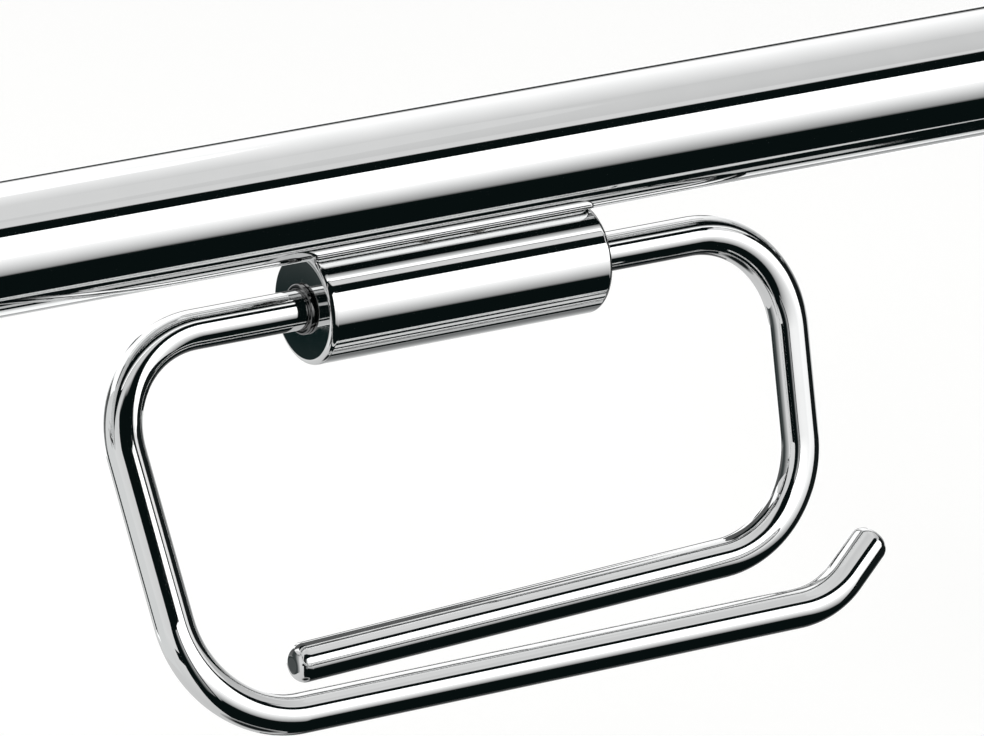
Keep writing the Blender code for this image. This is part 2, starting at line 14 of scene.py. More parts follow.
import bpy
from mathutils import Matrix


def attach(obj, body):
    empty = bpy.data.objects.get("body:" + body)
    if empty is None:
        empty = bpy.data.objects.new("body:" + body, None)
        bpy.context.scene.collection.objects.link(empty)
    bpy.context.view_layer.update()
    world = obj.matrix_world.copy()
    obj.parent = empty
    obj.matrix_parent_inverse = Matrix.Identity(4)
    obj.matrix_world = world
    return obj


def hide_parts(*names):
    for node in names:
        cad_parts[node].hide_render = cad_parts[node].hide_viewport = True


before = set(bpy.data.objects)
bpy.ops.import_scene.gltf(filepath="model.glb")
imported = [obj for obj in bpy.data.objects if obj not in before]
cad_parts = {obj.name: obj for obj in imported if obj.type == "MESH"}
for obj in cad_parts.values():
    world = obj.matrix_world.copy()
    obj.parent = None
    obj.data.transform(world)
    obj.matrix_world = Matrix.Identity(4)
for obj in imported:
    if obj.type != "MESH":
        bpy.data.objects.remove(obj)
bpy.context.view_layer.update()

# %% [markdown]
# All sizes below are in metres. The wall is the plane y = 0, the room is on the -Y side, Z points
# up, and the bar's axis runs along X at z = 0.

# %% Modules for the build
import math

import bmesh
import bpy
from mathutils import Matrix, Vector

# %% [markdown]
# ## Colours and nodes
#
# Colours are easiest to pick as the hex values of a screen colour. A shader calculates in linear
# light, so one function turns hex to linear. A second one adds a node to a material: the names in
# `settings` are the node's own options or its input sockets, and `links` joins other nodes'
# outputs to its inputs. A number stands for a socket whose name is used twice.

# %% Two helpers for materials
def linear(hex_colour, alpha=1):
    """An sRGB hex colour, such as E3E4E4, as linear red, green, blue and alpha."""
    channels = []
    for start in (0, 2, 4):
        value = int(hex_colour[start:start + 2], 16) / 255
        channels.append(value / 12.92 if value <= 0.04045 else ((value + 0.055) / 1.055) ** 2.4)
    return (*channels, alpha)


def add_node(tree, kind, settings=None, links=None):
    """Add a node, set its options and inputs, and link outputs to its inputs."""
    made = tree.nodes.new(kind)
    for name, value in (settings or {}).items():
        if isinstance(name, str) and hasattr(made, name):
            setattr(made, name, value)
        else:
            made.inputs[name].default_value = value
    for name, output in (links or {}).items():
        tree.links.new(output, made.inputs[name])
    return made


print("E3E4E4 in linear light:", [round(value, 3) for value in linear("E3E4E4")])

# %% [markdown]
# ## Patterns as large as real marks
#
# Every finish starts with a pattern, noise or rings, that is as large as the marks on the real
# surface. Object coordinates are in metres and move with the piece, so a pattern keeps its size.

# %% Patterns
METRES_AT_SCALE_1 = 0.05 * math.tau


def new_finish(name, settings):
    """A new material with these inputs on its Principled shader, its node tree and that shader."""
    material = bpy.data.materials.new(name)
    material.use_nodes = True
    shader = material.node_tree.nodes["Principled BSDF"]
    for socket, value in settings.items():
        shader.inputs[socket].default_value = value
    return material, material.node_tree, shader


def noise(tree, size, detail):
    """Noise whose lumps are this size."""
    place = add_node(tree, "ShaderNodeTexCoord")
    made = add_node(tree, "ShaderNodeTexNoise", {"Scale": 1 / size, "Detail": detail},
                    {"Vector": place.outputs["Object"]})
    return made.outputs["Fac"]


def turning_marks(tree, spacing, **settings):
    """Rings this far apart round the piece's own Z axis, as the tool of a lathe leaves them."""
    place = add_node(tree, "ShaderNodeTexCoord")
    made = add_node(tree, "ShaderNodeTexWave",
                    {"wave_type": "RINGS", "rings_direction": "Z", "Scale": METRES_AT_SCALE_1 / spacing,
                     "Detail": 1, **settings},
                    {"Vector": place.outputs["Object"]})
    return made.outputs["Fac"]


print("a wave texture at scale 1 repeats every", round(METRES_AT_SCALE_1, 3), "m")

# %% [markdown]
# A pattern then mixes two close tones, moves the roughness between two limits, and as a bump it
# lifts the surface by a mark's real height. Each step is a short function, so that a material
# reads as what was done to the real piece.

# %% What a pattern does to a surface
def bump(tree, pattern, height, under=None):
    """The surface lifted by this height where a pattern is bright, on top of another bump or none."""
    links = {"Height": pattern}
    if under:
        links["Normal"] = under
    return add_node(tree, "ShaderNodeBump", {"Strength": 1, "Distance": height}, links).outputs["Normal"]


def spread(tree, pattern, low, high, darkest=0, brightest=1):
    """A number that goes from low, where a pattern is darkest, to high, where it is brightest."""
    made = add_node(tree, "ShaderNodeMapRange",
                    {"From Min": darkest, "From Max": brightest, "To Min": low, "To Max": high},
                    {"Value": pattern})
    return made.outputs["Result"]


def two_tones(tree, pattern, dark, bright):
    """A colour between two hex colours, mixed by a pattern."""
    made = add_node(tree, "ShaderNodeMix", {"data_type": "RGBA", 6: linear(dark), 7: linear(bright)},
                    {"Factor": pattern})
    return made.outputs[2]


def connect(tree, shader, colour, roughness, normal):
    """Give a shader its colour, roughness and bump."""
    tree.links.new(colour, shader.inputs["Base Color"])
    tree.links.new(roughness, shader.inputs["Roughness"])
    tree.links.new(normal, shader.inputs["Normal"])


print("each finish links a tone, a roughness and a bump")

# %% [markdown]
# ## Polished chrome
#
# The bar, the roses, the housing and both rods are chrome plated: the metal under it is buffed to
# a mirror, a layer of nickel levels it, and a very thin layer of chromium gives the cold colour.
# What the eye sees is almost only the room. The finish gives itself away by small things: buffing
# leaves waves a few centimetres long, which make straight reflections swim a little, the plating
# has a fine orange-peel skin, and the polish is not equally bright everywhere.
#
# A metal in the Principled shader needs no IOR of its own. Metallic is 1, the base colour is
# chromium's reflectance, and roughness is only a few hundredths.

# %% Polished chrome
BUFFING_WAVE = 0.022
BUFFING_HEIGHT = 6e-6
PLATING_GRAIN = 0.0009
PLATING_HEIGHT = 6e-8
POLISH_PATCH = 0.012

chrome_plate, tree, shader = new_finish("buffed_chrome_plate", {"Metallic": 1})
patches = noise(tree, POLISH_PATCH, 4)
tone = two_tones(tree, patches, "E3E4E4", "EBEBEB")
haze = spread(tree, patches, 0.015, 0.045, darkest=0.3, brightest=0.7)
waves = bump(tree, noise(tree, BUFFING_WAVE, 1), BUFFING_HEIGHT)
skin = bump(tree, noise(tree, PLATING_GRAIN, 2), PLATING_HEIGHT, under=waves)
connect(tree, shader, tone, haze, skin)
print("polished chrome: waves", 1000 * BUFFING_WAVE, "mm, grain", 1000 * PLATING_GRAIN, "mm")

# %% [markdown]
# ## Turned and rolled stainless steel
#
# The flange plates are turned on a lathe from stainless steel. The tool leaves a spiral of fine
# grooves, so their faces shine in rings about their own centre. Each plate's origin is at that
# centre, and a wave texture in rings about it draws the grooves. Screws, washers and nuts are cold
# headed and have their threads rolled, which leaves a duller, evenly mottled skin.

# %% Stainless steel for the plates and for the fasteners
TURNING_GROOVE = 0.0006
TURNING_HEIGHT = 4e-6
TURNING_BLOTCH = 0.006
ROLLED_GRAIN = 0.0007
ROLLED_HEIGHT = 2e-6

turned_steel, tree, shader = new_finish("turned_stainless_steel", {"Metallic": 1})
blotches = noise(tree, TURNING_BLOTCH, 5)
grooves = turning_marks(tree, TURNING_GROOVE, **{"Distortion": 0.4, "Detail Scale": 0.2})
connect(tree, shader, two_tones(tree, blotches, "B9B7B2", "CDCBC6"),
        spread(tree, blotches, 0.22, 0.42), bump(tree, grooves, TURNING_HEIGHT))

rolled_steel, tree, shader = new_finish("rolled_stainless_steel", {"Metallic": 1})
mottle = noise(tree, ROLLED_GRAIN, 3)
connect(tree, shader, two_tones(tree, mottle, "B2B1AE", "C6C5C2"),
        spread(tree, mottle, 0.2, 0.36), bump(tree, mottle, ROLLED_HEIGHT))
print("turned grooves every", 1000 * TURNING_GROOVE, "mm, rolled grain", 1000 * ROLLED_GRAIN, "mm")

# %% [markdown]
# ## Black acetal and black rubber
#
# The two bushes that the rods turn in are turned from black acetal, a hard and slippery plastic
# that takes a gloss where it is faced off. Acetal's own IOR is 1.48. It is 1.8 here, with twice
# the usual specular level, because the bright lines along the bushes' rims are stronger than
# plain acetal would give. The rings that hold the arms where they are put are moulded nitrile
# rubber: matt and faintly pitted, with an IOR of 1.52.

# %% Acetal and rubber
ACETAL_GROOVE = 0.0004
ACETAL_HEIGHT = 2e-7
ACETAL_CLOUD = 0.002
RUBBER_PIT = 0.0003
RUBBER_HEIGHT = 2e-5

black_acetal, tree, shader = new_finish("turned_black_acetal", {"IOR": 1.8, "Specular IOR Level": 1})
cloud = noise(tree, ACETAL_CLOUD, 4)
grooves = turning_marks(tree, ACETAL_GROOVE, Distortion=0.3)
connect(tree, shader, two_tones(tree, cloud, "030404", "080909"),
        spread(tree, cloud, 0.03, 0.07), bump(tree, grooves, ACETAL_HEIGHT))

black_rubber, tree, shader = new_finish("moulded_nitrile_rubber", {"IOR": 1.52})
pits = noise(tree, RUBBER_PIT, 3)
connect(tree, shader, two_tones(tree, pits, "141414", "1E1E1F"),
        spread(tree, pits, 0.55, 0.75), bump(tree, pits, RUBBER_HEIGHT))
print("materials:", [material.name for material in bpy.data.materials])

# %% [markdown]
# ## Rounded corners
#
# No edge of a real piece is perfectly sharp, and on polished metal a rounded edge catches a bright
# line. `arc` puts the points of an arc in a corner's place, and the bends of the rods use it too.
# `fillet` does this along the outline of a turned piece: each corner is (height, radius, fillet
# radius).

# %% Arcs and fillets
def arc(before, corner, after, radius, steps):
    """The points of an arc that takes a corner's place, in a plane or in space."""
    arriving = (corner - before).normalized()
    leaving = (after - corner).normalized()
    turn = arriving.angle(leaving)
    start = corner - arriving * radius * math.tan(turn / 2)
    inward = (leaving - arriving * leaving.dot(arriving)).normalized()
    points = []
    for step in range(steps + 1):
        angle = turn * step / steps
        points.append(start + radius * (arriving * math.sin(angle) + inward * (1 - math.cos(angle))))
    return points


def fillet(corners, steps=6):
    """An outline's corners as (height, radius) points, with an arc where a corner has a radius."""
    points = []
    for index, (height, radius, rounding) in enumerate(corners):
        corner = Vector((height, radius))
        if rounding == 0:
            points.append(corner)
            continue
        before = Vector(corners[index - 1][:2])
        after = Vector(corners[(index + 1) % len(corners)][:2])
        points += arc(before, corner, after, rounding, steps)
    return [tuple(point) for point in points]


print("a rounded corner takes", len(fillet([(0, 0, 0), (0, 1, 0.2), (1, 1, 0)])) - 2, "points")

# %% [markdown]
# ## Turned shapes
#
# Nearly every small piece here is a turned one: a plate, a rose, a bush, a washer, a screw. Each
# is a stack of rings about Z. A ring is given as its height and its radius. The radius may also be
# a function of the angle, and then the same stack makes a hexagonal key hole or a screw thread.
# Building the rings in mesh code, instead of with a Screw modifier, is what allows that.

# %% Rings about an axis
def in_scene(obj, location=(0, 0, 0), rotation=(0, 0, 0)):
    """Link an object to the scene, at a place."""
    bpy.context.scene.collection.objects.link(obj)
    obj.location = location
    obj.rotation_euler = rotation
    return obj


def mesh_object(name, bm):
    """An object with the mesh that was built in bm."""
    mesh = bpy.data.meshes.new(name)
    bm.to_mesh(mesh)
    bm.free()
    return bpy.data.objects.new(name, mesh)


def revolve(name, rings, place, rotation=(0, 0, 0), sides=96, closed=False):
    """A piece from (height, radius) rings about its Z axis, from its top down its outer side."""
    bm = bmesh.new()
    rows = []
    for height, radius in rings:
        row = []
        for side in range(sides):
            angle = math.tau * side / sides
            reach = radius(angle, height) if callable(radius) else radius
            if reach == 0:
                row = [bm.verts.new((0, 0, height))]
                break
            row.append(bm.verts.new((reach * math.cos(angle), reach * math.sin(angle), height)))
        rows.append(row)
    pairs = list(zip(rows, rows[1:]))
    if closed:
        pairs.append((rows[-1], rows[0]))
    for upper, lower in pairs:
        for side in range(sides):
            after = (side + 1) % sides
            if len(upper) == 1:
                bm.faces.new((upper[0], lower[side], lower[after]))
            elif len(lower) == 1:
                bm.faces.new((lower[0], upper[after], upper[side]))
            else:
                bm.faces.new((lower[side], lower[after], upper[after], upper[side]))
    return in_scene(mesh_object(name, bm), place, rotation)


def hexagon(flats):
    """A ring's radius for a hexagon that is this wide across its flats."""
    def radius(angle, height):
        return flats / 2 / math.cos((angle + math.pi / 6) % (math.pi / 3) - math.pi / 6)
    return radius


print("a 4 mm key is", round(2 * hexagon(4)(math.pi / 6, 0), 2), "mm across its corners")

# %% [markdown]
# ## From a shape to a piece
#
# A piece needs four things: its finish, smooth shading that still breaks at real edges, the body
# that it moves with, and the CAD node that it stands for. Weighted normals keep a flat face flat
# right up to its rounded edge, which matters on chrome: without them the edge's curve bleeds into
# the face, and its reflection bends.

# %% Finish a piece and put it in the assembly
CREASE = math.radians(35)

finished = []


def finish_piece(piece, material, slot, body, *nodes):
    """Shade a piece, give it its finish, and let it stand for CAD nodes on a body."""
    piece.data.materials.clear()
    piece.data.materials.append(material)
    piece.data.shade_smooth()
    piece.data.set_sharp_from_angle(angle=CREASE)
    weighted = piece.modifiers.new("Flat faces stay flat", "WEIGHTED_NORMAL")
    weighted.keep_sharp = True
    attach(piece, body)
    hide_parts(*nodes)
    finished.append(piece)
    print(piece.name, "stands for", *nodes, "-", len(piece.data.vertices), "points")
    return piece


def baked(obj):
    """Turn an object's modifiers into its mesh, and take its cutters away."""
    cutters = [modifier.object for modifier in obj.modifiers if modifier.type == "BOOLEAN"]
    bpy.context.view_layer.update()
    shape = bpy.data.meshes.new_from_object(obj.evaluated_get(bpy.context.evaluated_depsgraph_get()))
    obj.modifiers.clear()
    obj.data = shape
    for cutter in cutters:
        bpy.data.objects.remove(cutter)
    return obj


def cut(obj, *cutters, keep="DIFFERENCE"):
    """Cut other shapes out of an object, or keep only what lies inside them."""
    for cutter in cutters:
        boolean = obj.modifiers.new("Cut", "BOOLEAN")
        boolean.operation = keep
        boolean.solver = "EXACT"
        boolean.object = cutter
    return baked(obj)


print("an edge stays sharp from", round(math.degrees(CREASE)), "degrees on")

# %% [markdown]
# ## Bent tubes and rods
#
# The bar and the two arms are bent on a mandrel, so each is straight runs joined by arcs of one
# radius. `bent_line` finds the points of that centre line from its corners. `sweep` then carries a
# ring of points along it. A curve object with a bevel would do this too, but the rings have to keep
# their radius exactly and stay square to the line, and each may have a radius of its own, for the
# grooves and the rounded tips of the rods.

# %% Centre lines and sweeps
BEND_STEPS = 28


def bent_line(corners, bend_radius):
    """The points of a line with an arc at each inner corner."""
    points = [corners[0].copy()]
    for before, corner, after in zip(corners, corners[1:], corners[2:]):
        points += arc(before, corner, after, bend_radius, BEND_STEPS)
    points.append(corners[-1].copy())
    return points


def sweep(name, stations, sides, capped):
    """A round bar through (point, radius) stations."""
    bm = bmesh.new()
    centres = [point for point, radius in stations]
    rows = []
    across = None
    for index, (centre, radius) in enumerate(stations):
        before = centres[max(index - 1, 0)]
        after = centres[min(index + 1, len(centres) - 1)]
        if (after - centre).length < 1e-7 or (centre - before).length < 1e-7:
            along = (after - before).normalized()
        else:
            along = ((after - centre).normalized() + (centre - before).normalized()).normalized()
        if across is None:
            across = along.orthogonal()
        across = (across - along * across.dot(along)).normalized()
        third = along.cross(across)
        row = []
        for side in range(sides):
            angle = math.tau * side / sides
            row.append(bm.verts.new(centre + radius * (across * math.cos(angle) + third * math.sin(angle))))
        rows.append(row)
    for first, second in zip(rows, rows[1:]):
        for side in range(sides):
            after = (side + 1) % sides
            bm.faces.new((first[side], first[after], second[after], second[side]))
    if capped:
        bm.faces.new(rows[0][::-1])
        bm.faces.new(rows[-1])
    return mesh_object(name, bm)


print("a right angle is bent in steps of", round(90 / BEND_STEPS, 1), "degrees")

# %% [markdown]
# ## The grab bar
#
# The bar is 32 mm tube with a 1.5 mm wall. It leaves one wall flange, bends through a right angle
# and comes back to the wall 600 mm further on. Its outer skin is swept first, and a Solidify
# modifier grows the wall inwards. Two holes underneath, countersunk so that nothing stands out
# between the bar and the housing, take the blind nuts for the housing's screws.

# %% Make the bar
BAR_RADIUS = 0.016
BAR_WALL = 0.0015
BAR_HALF_SPAN = 0.300
BAR_PROJECTION = 0.064
BAR_BEND = 0.048
BAR_SIDES = 128
PLATE_THICKNESS = 0.004
SEAT_GAP = 0.0002
PIVOT_DROP = 0.030
PIVOT = Vector((0, -BAR_PROJECTION, -PIVOT_DROP))
MOUNT_OFFSET = 0.0075
NUT_BODY_RADIUS = 0.0035
NUT_HEAD_RADIUS = 0.00375
NUT_HEAD_TOP = -0.0156
NUT_FIT = 0.00003
DRILL_SIDES = 48
OVERRUN = 0.002

bar_end = -PLATE_THICKNESS - SEAT_GAP
bar_corners = [
    Vector((-BAR_HALF_SPAN, bar_end, 0)),
    Vector((-BAR_HALF_SPAN, -BAR_PROJECTION, 0)),
    Vector((BAR_HALF_SPAN, -BAR_PROJECTION, 0)),
    Vector((BAR_HALF_SPAN, bar_end, 0)),
]
bar_line = [(point, BAR_RADIUS) for point in bent_line(bar_corners, BAR_BEND)]
bar = in_scene(sweep("bent_bar", bar_line, BAR_SIDES, capped=False))
wall = bar.modifiers.new("Wall", "SOLIDIFY")
wall.thickness = BAR_WALL
wall.offset = -1
wall.use_even_offset = True
drills = []
for side in (-1, 1):
    rings = [
        (0, 0),
        (0, NUT_BODY_RADIUS + NUT_FIT),
        (NUT_HEAD_TOP + NUT_FIT, NUT_BODY_RADIUS + NUT_FIT),
        (-BAR_RADIUS + NUT_FIT, NUT_HEAD_RADIUS + NUT_FIT),
        (-BAR_RADIUS - OVERRUN, NUT_HEAD_RADIUS + NUT_FIT),
        (-BAR_RADIUS - OVERRUN, 0),
    ]
    drills.append(revolve("drill", rings, (side * MOUNT_OFFSET, -BAR_PROJECTION, 0), sides=DRILL_SIDES))
cut(bar, *drills)
finish_piece(bar, chrome_plate, "polished_chrome", "bar", "grab_bar_tube")

# %% [markdown]
# ## The wall flanges
#
# A plate is screwed to the wall and holds the bar's end in a short socket, where a grub screw locks
# it. A thin rose slides along the bar and snaps over the plate, so only chrome shows from the room.
# Three screws hold each plate, at even angles on one circle.

# %% Sizes of the wall flanges
PLATE_RADIUS = 0.036
SOCKET_INNER = 0.0161
SOCKET_OUTER = 0.0191
SOCKET_TOP = 0.012
ROSE_INNER = 0.0363
ROSE_OUTER = 0.0373
ROSE_HEIGHT = 0.015
ROSE_SKIN = 0.001
ROSE_CORNER = 0.003
ROSE_HOLE = 0.0162
ROSE_LIFT = 0.0003
ROSE_SIDES = 160
CHROME_ARC = 8
WALL_SCREW_CIRCLE = 0.0275
M5_RADIUS = 0.0025
M5_HOLE = M5_RADIUS + SEAT_GAP
LOCK_DEPTH = 0.008
CRISP_EDGE = 0.0003
SOFT_EDGE = 0.0005
SOCKET_ROOT = 0.0008
OFF_THE_WALL = (math.pi / 2, 0, 0)
INTO_THE_WALL = (-math.pi / 2, 0, 0)
SIDES = {-1: "left", 1: "right"}


def plain_drill(radius, bottom, top):
    """The rings of a plain round cutter."""
    return [(top, 0), (top, radius), (bottom, radius), (bottom, 0)]


def wall_screw_places(side):
    """The three screws of a flange, evenly round it, the first on top."""
    places = []
    for index in range(3):
        angle = math.pi / 2 + index * math.tau / 3
        x = side * BAR_HALF_SPAN + WALL_SCREW_CIRCLE * math.cos(angle)
        places.append(Vector((x, 0, WALL_SCREW_CIRCLE * math.sin(angle))))
    return places


print("the right plate's first screw is at", [round(1000 * x, 1) for x in wall_screw_places(1)[0]], "mm")

# %% [markdown]
# Plate and rose are turned shapes whose axis points away from the wall, so they are made about Z
# and then tipped over by a quarter turn. The plate's screw holes are drilled with a Boolean.

# %% Make the plates and the roses
for side, side_name in SIDES.items():
    foot = Vector((side * BAR_HALF_SPAN, 0, 0))
    plate_outline = [
        (PLATE_THICKNESS, 0, 0),
        (PLATE_THICKNESS, SOCKET_INNER, 0),
        (SOCKET_TOP, SOCKET_INNER, CRISP_EDGE),
        (SOCKET_TOP, SOCKET_OUTER, SOFT_EDGE),
        (PLATE_THICKNESS, SOCKET_OUTER, SOCKET_ROOT),
        (PLATE_THICKNESS, PLATE_RADIUS, SOFT_EDGE),
        (0, PLATE_RADIUS, CRISP_EDGE),
        (0, 0, 0),
    ]
    plate = revolve("flange_plate_" + side_name, fillet(plate_outline), foot, OFF_THE_WALL)
    drills = []
    for spot in wall_screw_places(side):
        rings = plain_drill(M5_HOLE, -OVERRUN, SOCKET_TOP)
        drills.append(revolve("drill", rings, spot, OFF_THE_WALL, DRILL_SIDES))
    rings = plain_drill(M5_HOLE, -SOCKET_OUTER - OVERRUN, -OVERRUN)
    drills.append(revolve("drill", rings, foot + Vector((0, -LOCK_DEPTH, 0)), sides=DRILL_SIDES))
    cut(plate, *drills)
    finish_piece(plate, turned_steel, "stainless_steel", "bar", "wall_plate_" + side_name)

    rose_outline = [
        (ROSE_HEIGHT, ROSE_HOLE, CRISP_EDGE),
        (ROSE_HEIGHT, ROSE_OUTER, ROSE_CORNER),
        (ROSE_LIFT, ROSE_OUTER, CRISP_EDGE),
        (ROSE_LIFT, ROSE_INNER, CRISP_EDGE),
        (ROSE_HEIGHT - ROSE_SKIN, ROSE_INNER, ROSE_CORNER - ROSE_SKIN),
        (ROSE_HEIGHT - ROSE_SKIN, ROSE_HOLE, CRISP_EDGE),
    ]
    rose_rings = fillet(rose_outline, CHROME_ARC)
    rose = revolve("rose_" + side_name, rose_rings, foot, OFF_THE_WALL, ROSE_SIDES, closed=True)
    finish_piece(rose, chrome_plate, "polished_chrome", "bar", "cover_rose_" + side_name)

# %% [markdown]
# ## Screws
#
# A thread is one ridge that climbs round the shank. Here it is a ring's radius that depends on the
# angle and the height, so a stack of rings, eight to each turn, gives a real helix. The wall screws
# are wood screws, with a wide pitch, a narrow ridge and a point. The machine screws have the
# standard metric pitches of 0.8 mm for M5 and 0.7 mm for M4.

# %% Threads
RINGS_PER_TURN = 8
POINT_SHARE = 0.04
M4_THREAD = {"crest": 0.002, "core": 0.0016, "pitch": 0.0007}
M5_THREAD = {"crest": M5_RADIUS, "core": 0.0021, "pitch": 0.0008}
WOOD_THREAD = {"crest": M5_RADIUS, "core": 0.0017, "pitch": 0.0022, "ridge_share": 0.45, "taper": 0.006}


def thread(core, crest, pitch, ridge_share, bottom, top, taper):
    """A ring's radius on a right-handed thread, which fades in and out over one turn."""
    def radius(angle, height):
        turn = (height / pitch - angle / math.tau) % 1
        ridge = max(0, 1 - abs(2 * turn - 1) / ridge_share)
        fade = min(1, max(0, min(height - bottom, top - height) / pitch))
        body = core * min(1, max(POINT_SHARE, (top - height) / taper)) if taper else core
        return body + (crest - core) * ridge * fade
    return radius


def shank_rings(end, seat, threaded, crest, core, pitch, ridge_share=1, taper=0):
    """The rings of a shank from its end down to its seat, with a thread on its first stretch."""
    bottom = end - threaded
    ridge = thread(core, crest, pitch, ridge_share, bottom, end, taper)
    count = round(RINGS_PER_TURN * threaded / pitch)
    rings = [(end - threaded * step / count, ridge) for step in range(count + 1)]
    if bottom > seat:
        rings.append((seat, core))
    return [(end, 0)] + rings


print("thread pitches:", [1000 * form["pitch"] for form in (M4_THREAD, M5_THREAD, WOOD_THREAD)], "mm")

# %% [markdown]
# A whole screw is one stack of rings, from the end of its shank over its head to the bottom of its
# hexagon key hole. The grub screws have no head, and end in a dog point.

# %% Whole screws
SCREW_SIDES = 48
KEY_CHAMFER = 0.0001
DRILL_POINT = 0.25
DOG_EDGE = 0.0002
THREAD_RUNOUT = 0.0002


def key_rings(flats, depth):
    """The rings of a hexagon key hole, from the rim of its chamfer to the drill point's tip."""
    corner = flats / math.sqrt(3)
    hole = hexagon(flats)
    tip = depth + DRILL_POINT * flats
    return [(0, corner + KEY_CHAMFER), (2 * KEY_CHAMFER, hole), (depth, hole), (tip, 0)]


def headed_rings(length, threaded, head, edges, key, core, **form):
    """The rings of a screw with a round head: (height, radius) and its lower and upper edge."""
    height, radius = head
    corners = [(height, core, 0), (height, radius, edges[0]), (0, radius, edges[1]), (0, 0, 0)]
    shank = shank_rings(height + length, height, threaded, core=core, **form)
    return shank + fillet(corners)[1:-1] + key_rings(*key)


def grub_rings(length, dog, key, core, **form):
    """The rings of a headless screw, with a dog point of this (length, radius)."""
    dog_length, dog_radius = dog
    shoulder = length - dog_length
    corners = [(length, 0, 0), (length, dog_radius, DOG_EDGE), (shoulder, dog_radius, 0),
               (shoulder, core, 0)]
    shank = shank_rings(shoulder, 0, shoulder - THREAD_RUNOUT, core=core, **form)
    return fillet(corners) + shank[1:] + key_rings(*key)


def fixing(name, rings, node_name, place, rotation=(0, 0, 0), sides=SCREW_SIDES, closed=False):
    """A turned piece of rolled steel that holds something on the bar."""
    piece = revolve(name, rings, place, rotation, sides, closed)
    return finish_piece(piece, rolled_steel, "stainless_steel", "bar", node_name)


print("a ring of a screw has", SCREW_SIDES, "points")

# %% [markdown]
# The six wall screws are 45 mm long, and the roses cover their low round heads. The two lock screws
# sit in the sockets from below, and are reached once the rose is slid aside.

# %% Make the wall screws and the lock screws
WALL_HEAD = 0.0032
WALL_SCREW = {"length": 0.045, "threaded": 0.034, "head": (WALL_HEAD, 0.00475),
              "edges": (CRISP_EDGE, 0.0016), "key": (0.003, 0.0018)}
LOCK_SCREW = {"length": 0.004, "dog": (0.0006, 0.0017), "key": (0.0025, 0.0018)}
LOCK_SEAT = 0.020178

wall_head_face = -PLATE_THICKNESS - SEAT_GAP - WALL_HEAD
wall_rings = headed_rings(**WALL_SCREW, **WOOD_THREAD)
lock_rings = grub_rings(**LOCK_SCREW, **M5_THREAD)
for side, side_name in SIDES.items():
    for index, spot in enumerate(wall_screw_places(side), start=1):
        fixing(f"wood_screw_{side_name}_{index}", wall_rings, f"wall_screw_{side_name}_{index}",
               spot + Vector((0, wall_head_face, 0)), INTO_THE_WALL)
for side, side_name in SIDES.items():
    fixing("lock_screw_" + side_name, lock_rings, "bar_lock_screw_" + side_name,
           (side * BAR_HALF_SPAN, -LOCK_DEPTH, -LOCK_SEAT))

# %% [markdown]
# ## The housing
#
# The housing is a piece of 28 mm round bar, 81 mm long. Its rims are rounded by 1.6 mm, twice as
# much as in the CAD model, because that is how wide the bright line along them is. It has 192
# sides, because on a mirror even a small step between two faces would show.

# %% Turn the housing
HOUSING_RADIUS = 0.014
HOUSING_END = 0.0405
HOUSING_EDGE = 0.0016
HOUSING_SIDES = 192
ALONG_X = (0, math.pi / 2, 0)
AGAINST_X = (0, -math.pi / 2, 0)
OUTWARD = {-1: AGAINST_X, 1: ALONG_X}


def beside_pivot(side, offset, rise=0):
    """A place to one side of the middle of the pivot's axis."""
    return PIVOT + Vector((side * offset, 0, rise))


housing_outline = [
    (HOUSING_END, 0, 0),
    (HOUSING_END, HOUSING_RADIUS, HOUSING_EDGE),
    (-HOUSING_END, HOUSING_RADIUS, HOUSING_EDGE),
    (-HOUSING_END, 0, 0),
]
housing_rings = fillet(housing_outline, CHROME_ARC)
housing = revolve("saddle_housing", housing_rings, PIVOT, ALONG_X, HOUSING_SIDES)
print("the housing is", 2000 * HOUSING_END, "mm long, and", 2000 * HOUSING_RADIUS, "mm across")

# %% [markdown]
# A shallow groove is milled along its top, as a seat for the bar's underside. Each end has a
# stepped bore for a bush and a rod, and two counterbored holes from below take the screws that
# pull it up against the bar. Each of these is a turned cutter for a Boolean modifier.

# %% Cut the housing's groove and holes
ROD_RADIUS = 0.00497
ROD_FIT = 0.00008
SLEEVE_RADIUS = 0.0058
SLEEVE_START = 0.0285
BORE_END = 0.0155
RETAINING_OFFSET = 0.0205
RETAINING_HOLE = 0.0021
MOUNT_SEAT = -0.006
COUNTERBORE = 0.00475
FIXING_SIDES = 60

reach = HOUSING_END + OVERRUN
above, below = HOUSING_RADIUS + OVERRUN, -HOUSING_RADIUS - OVERRUN
saddle = plain_drill(BAR_RADIUS + SEAT_GAP, -reach, reach)
cutters = [revolve("saddle", saddle, (0, -BAR_PROJECTION, 0), ALONG_X, HOUSING_SIDES)]
for side in SIDES:
    bore = [
        (reach, 0),
        (reach, SLEEVE_RADIUS + SEAT_GAP),
        (SLEEVE_START - SEAT_GAP, SLEEVE_RADIUS + SEAT_GAP),
        (SLEEVE_START - SEAT_GAP, ROD_RADIUS + ROD_FIT),
        (BORE_END, ROD_RADIUS + ROD_FIT),
        (BORE_END, 0),
    ]
    cutters.append(revolve("bore", bore, PIVOT, OUTWARD[side]))
    mount_hole = [
        (above, 0),
        (above, M5_HOLE),
        (MOUNT_SEAT, M5_HOLE),
        (MOUNT_SEAT, COUNTERBORE),
        (below, COUNTERBORE),
        (below, 0),
    ]
    spot = beside_pivot(side, MOUNT_OFFSET)
    cutters.append(revolve("mount_hole", mount_hole, spot, sides=FIXING_SIDES))
    retaining_hole = plain_drill(RETAINING_HOLE, below, 0)
    spot = beside_pivot(side, RETAINING_OFFSET)
    cutters.append(revolve("retaining_hole", retaining_hole, spot, sides=DRILL_SIDES))
cut(housing, *cutters)
finish_piece(housing, chrome_plate, "polished_chrome", "bar", "housing")

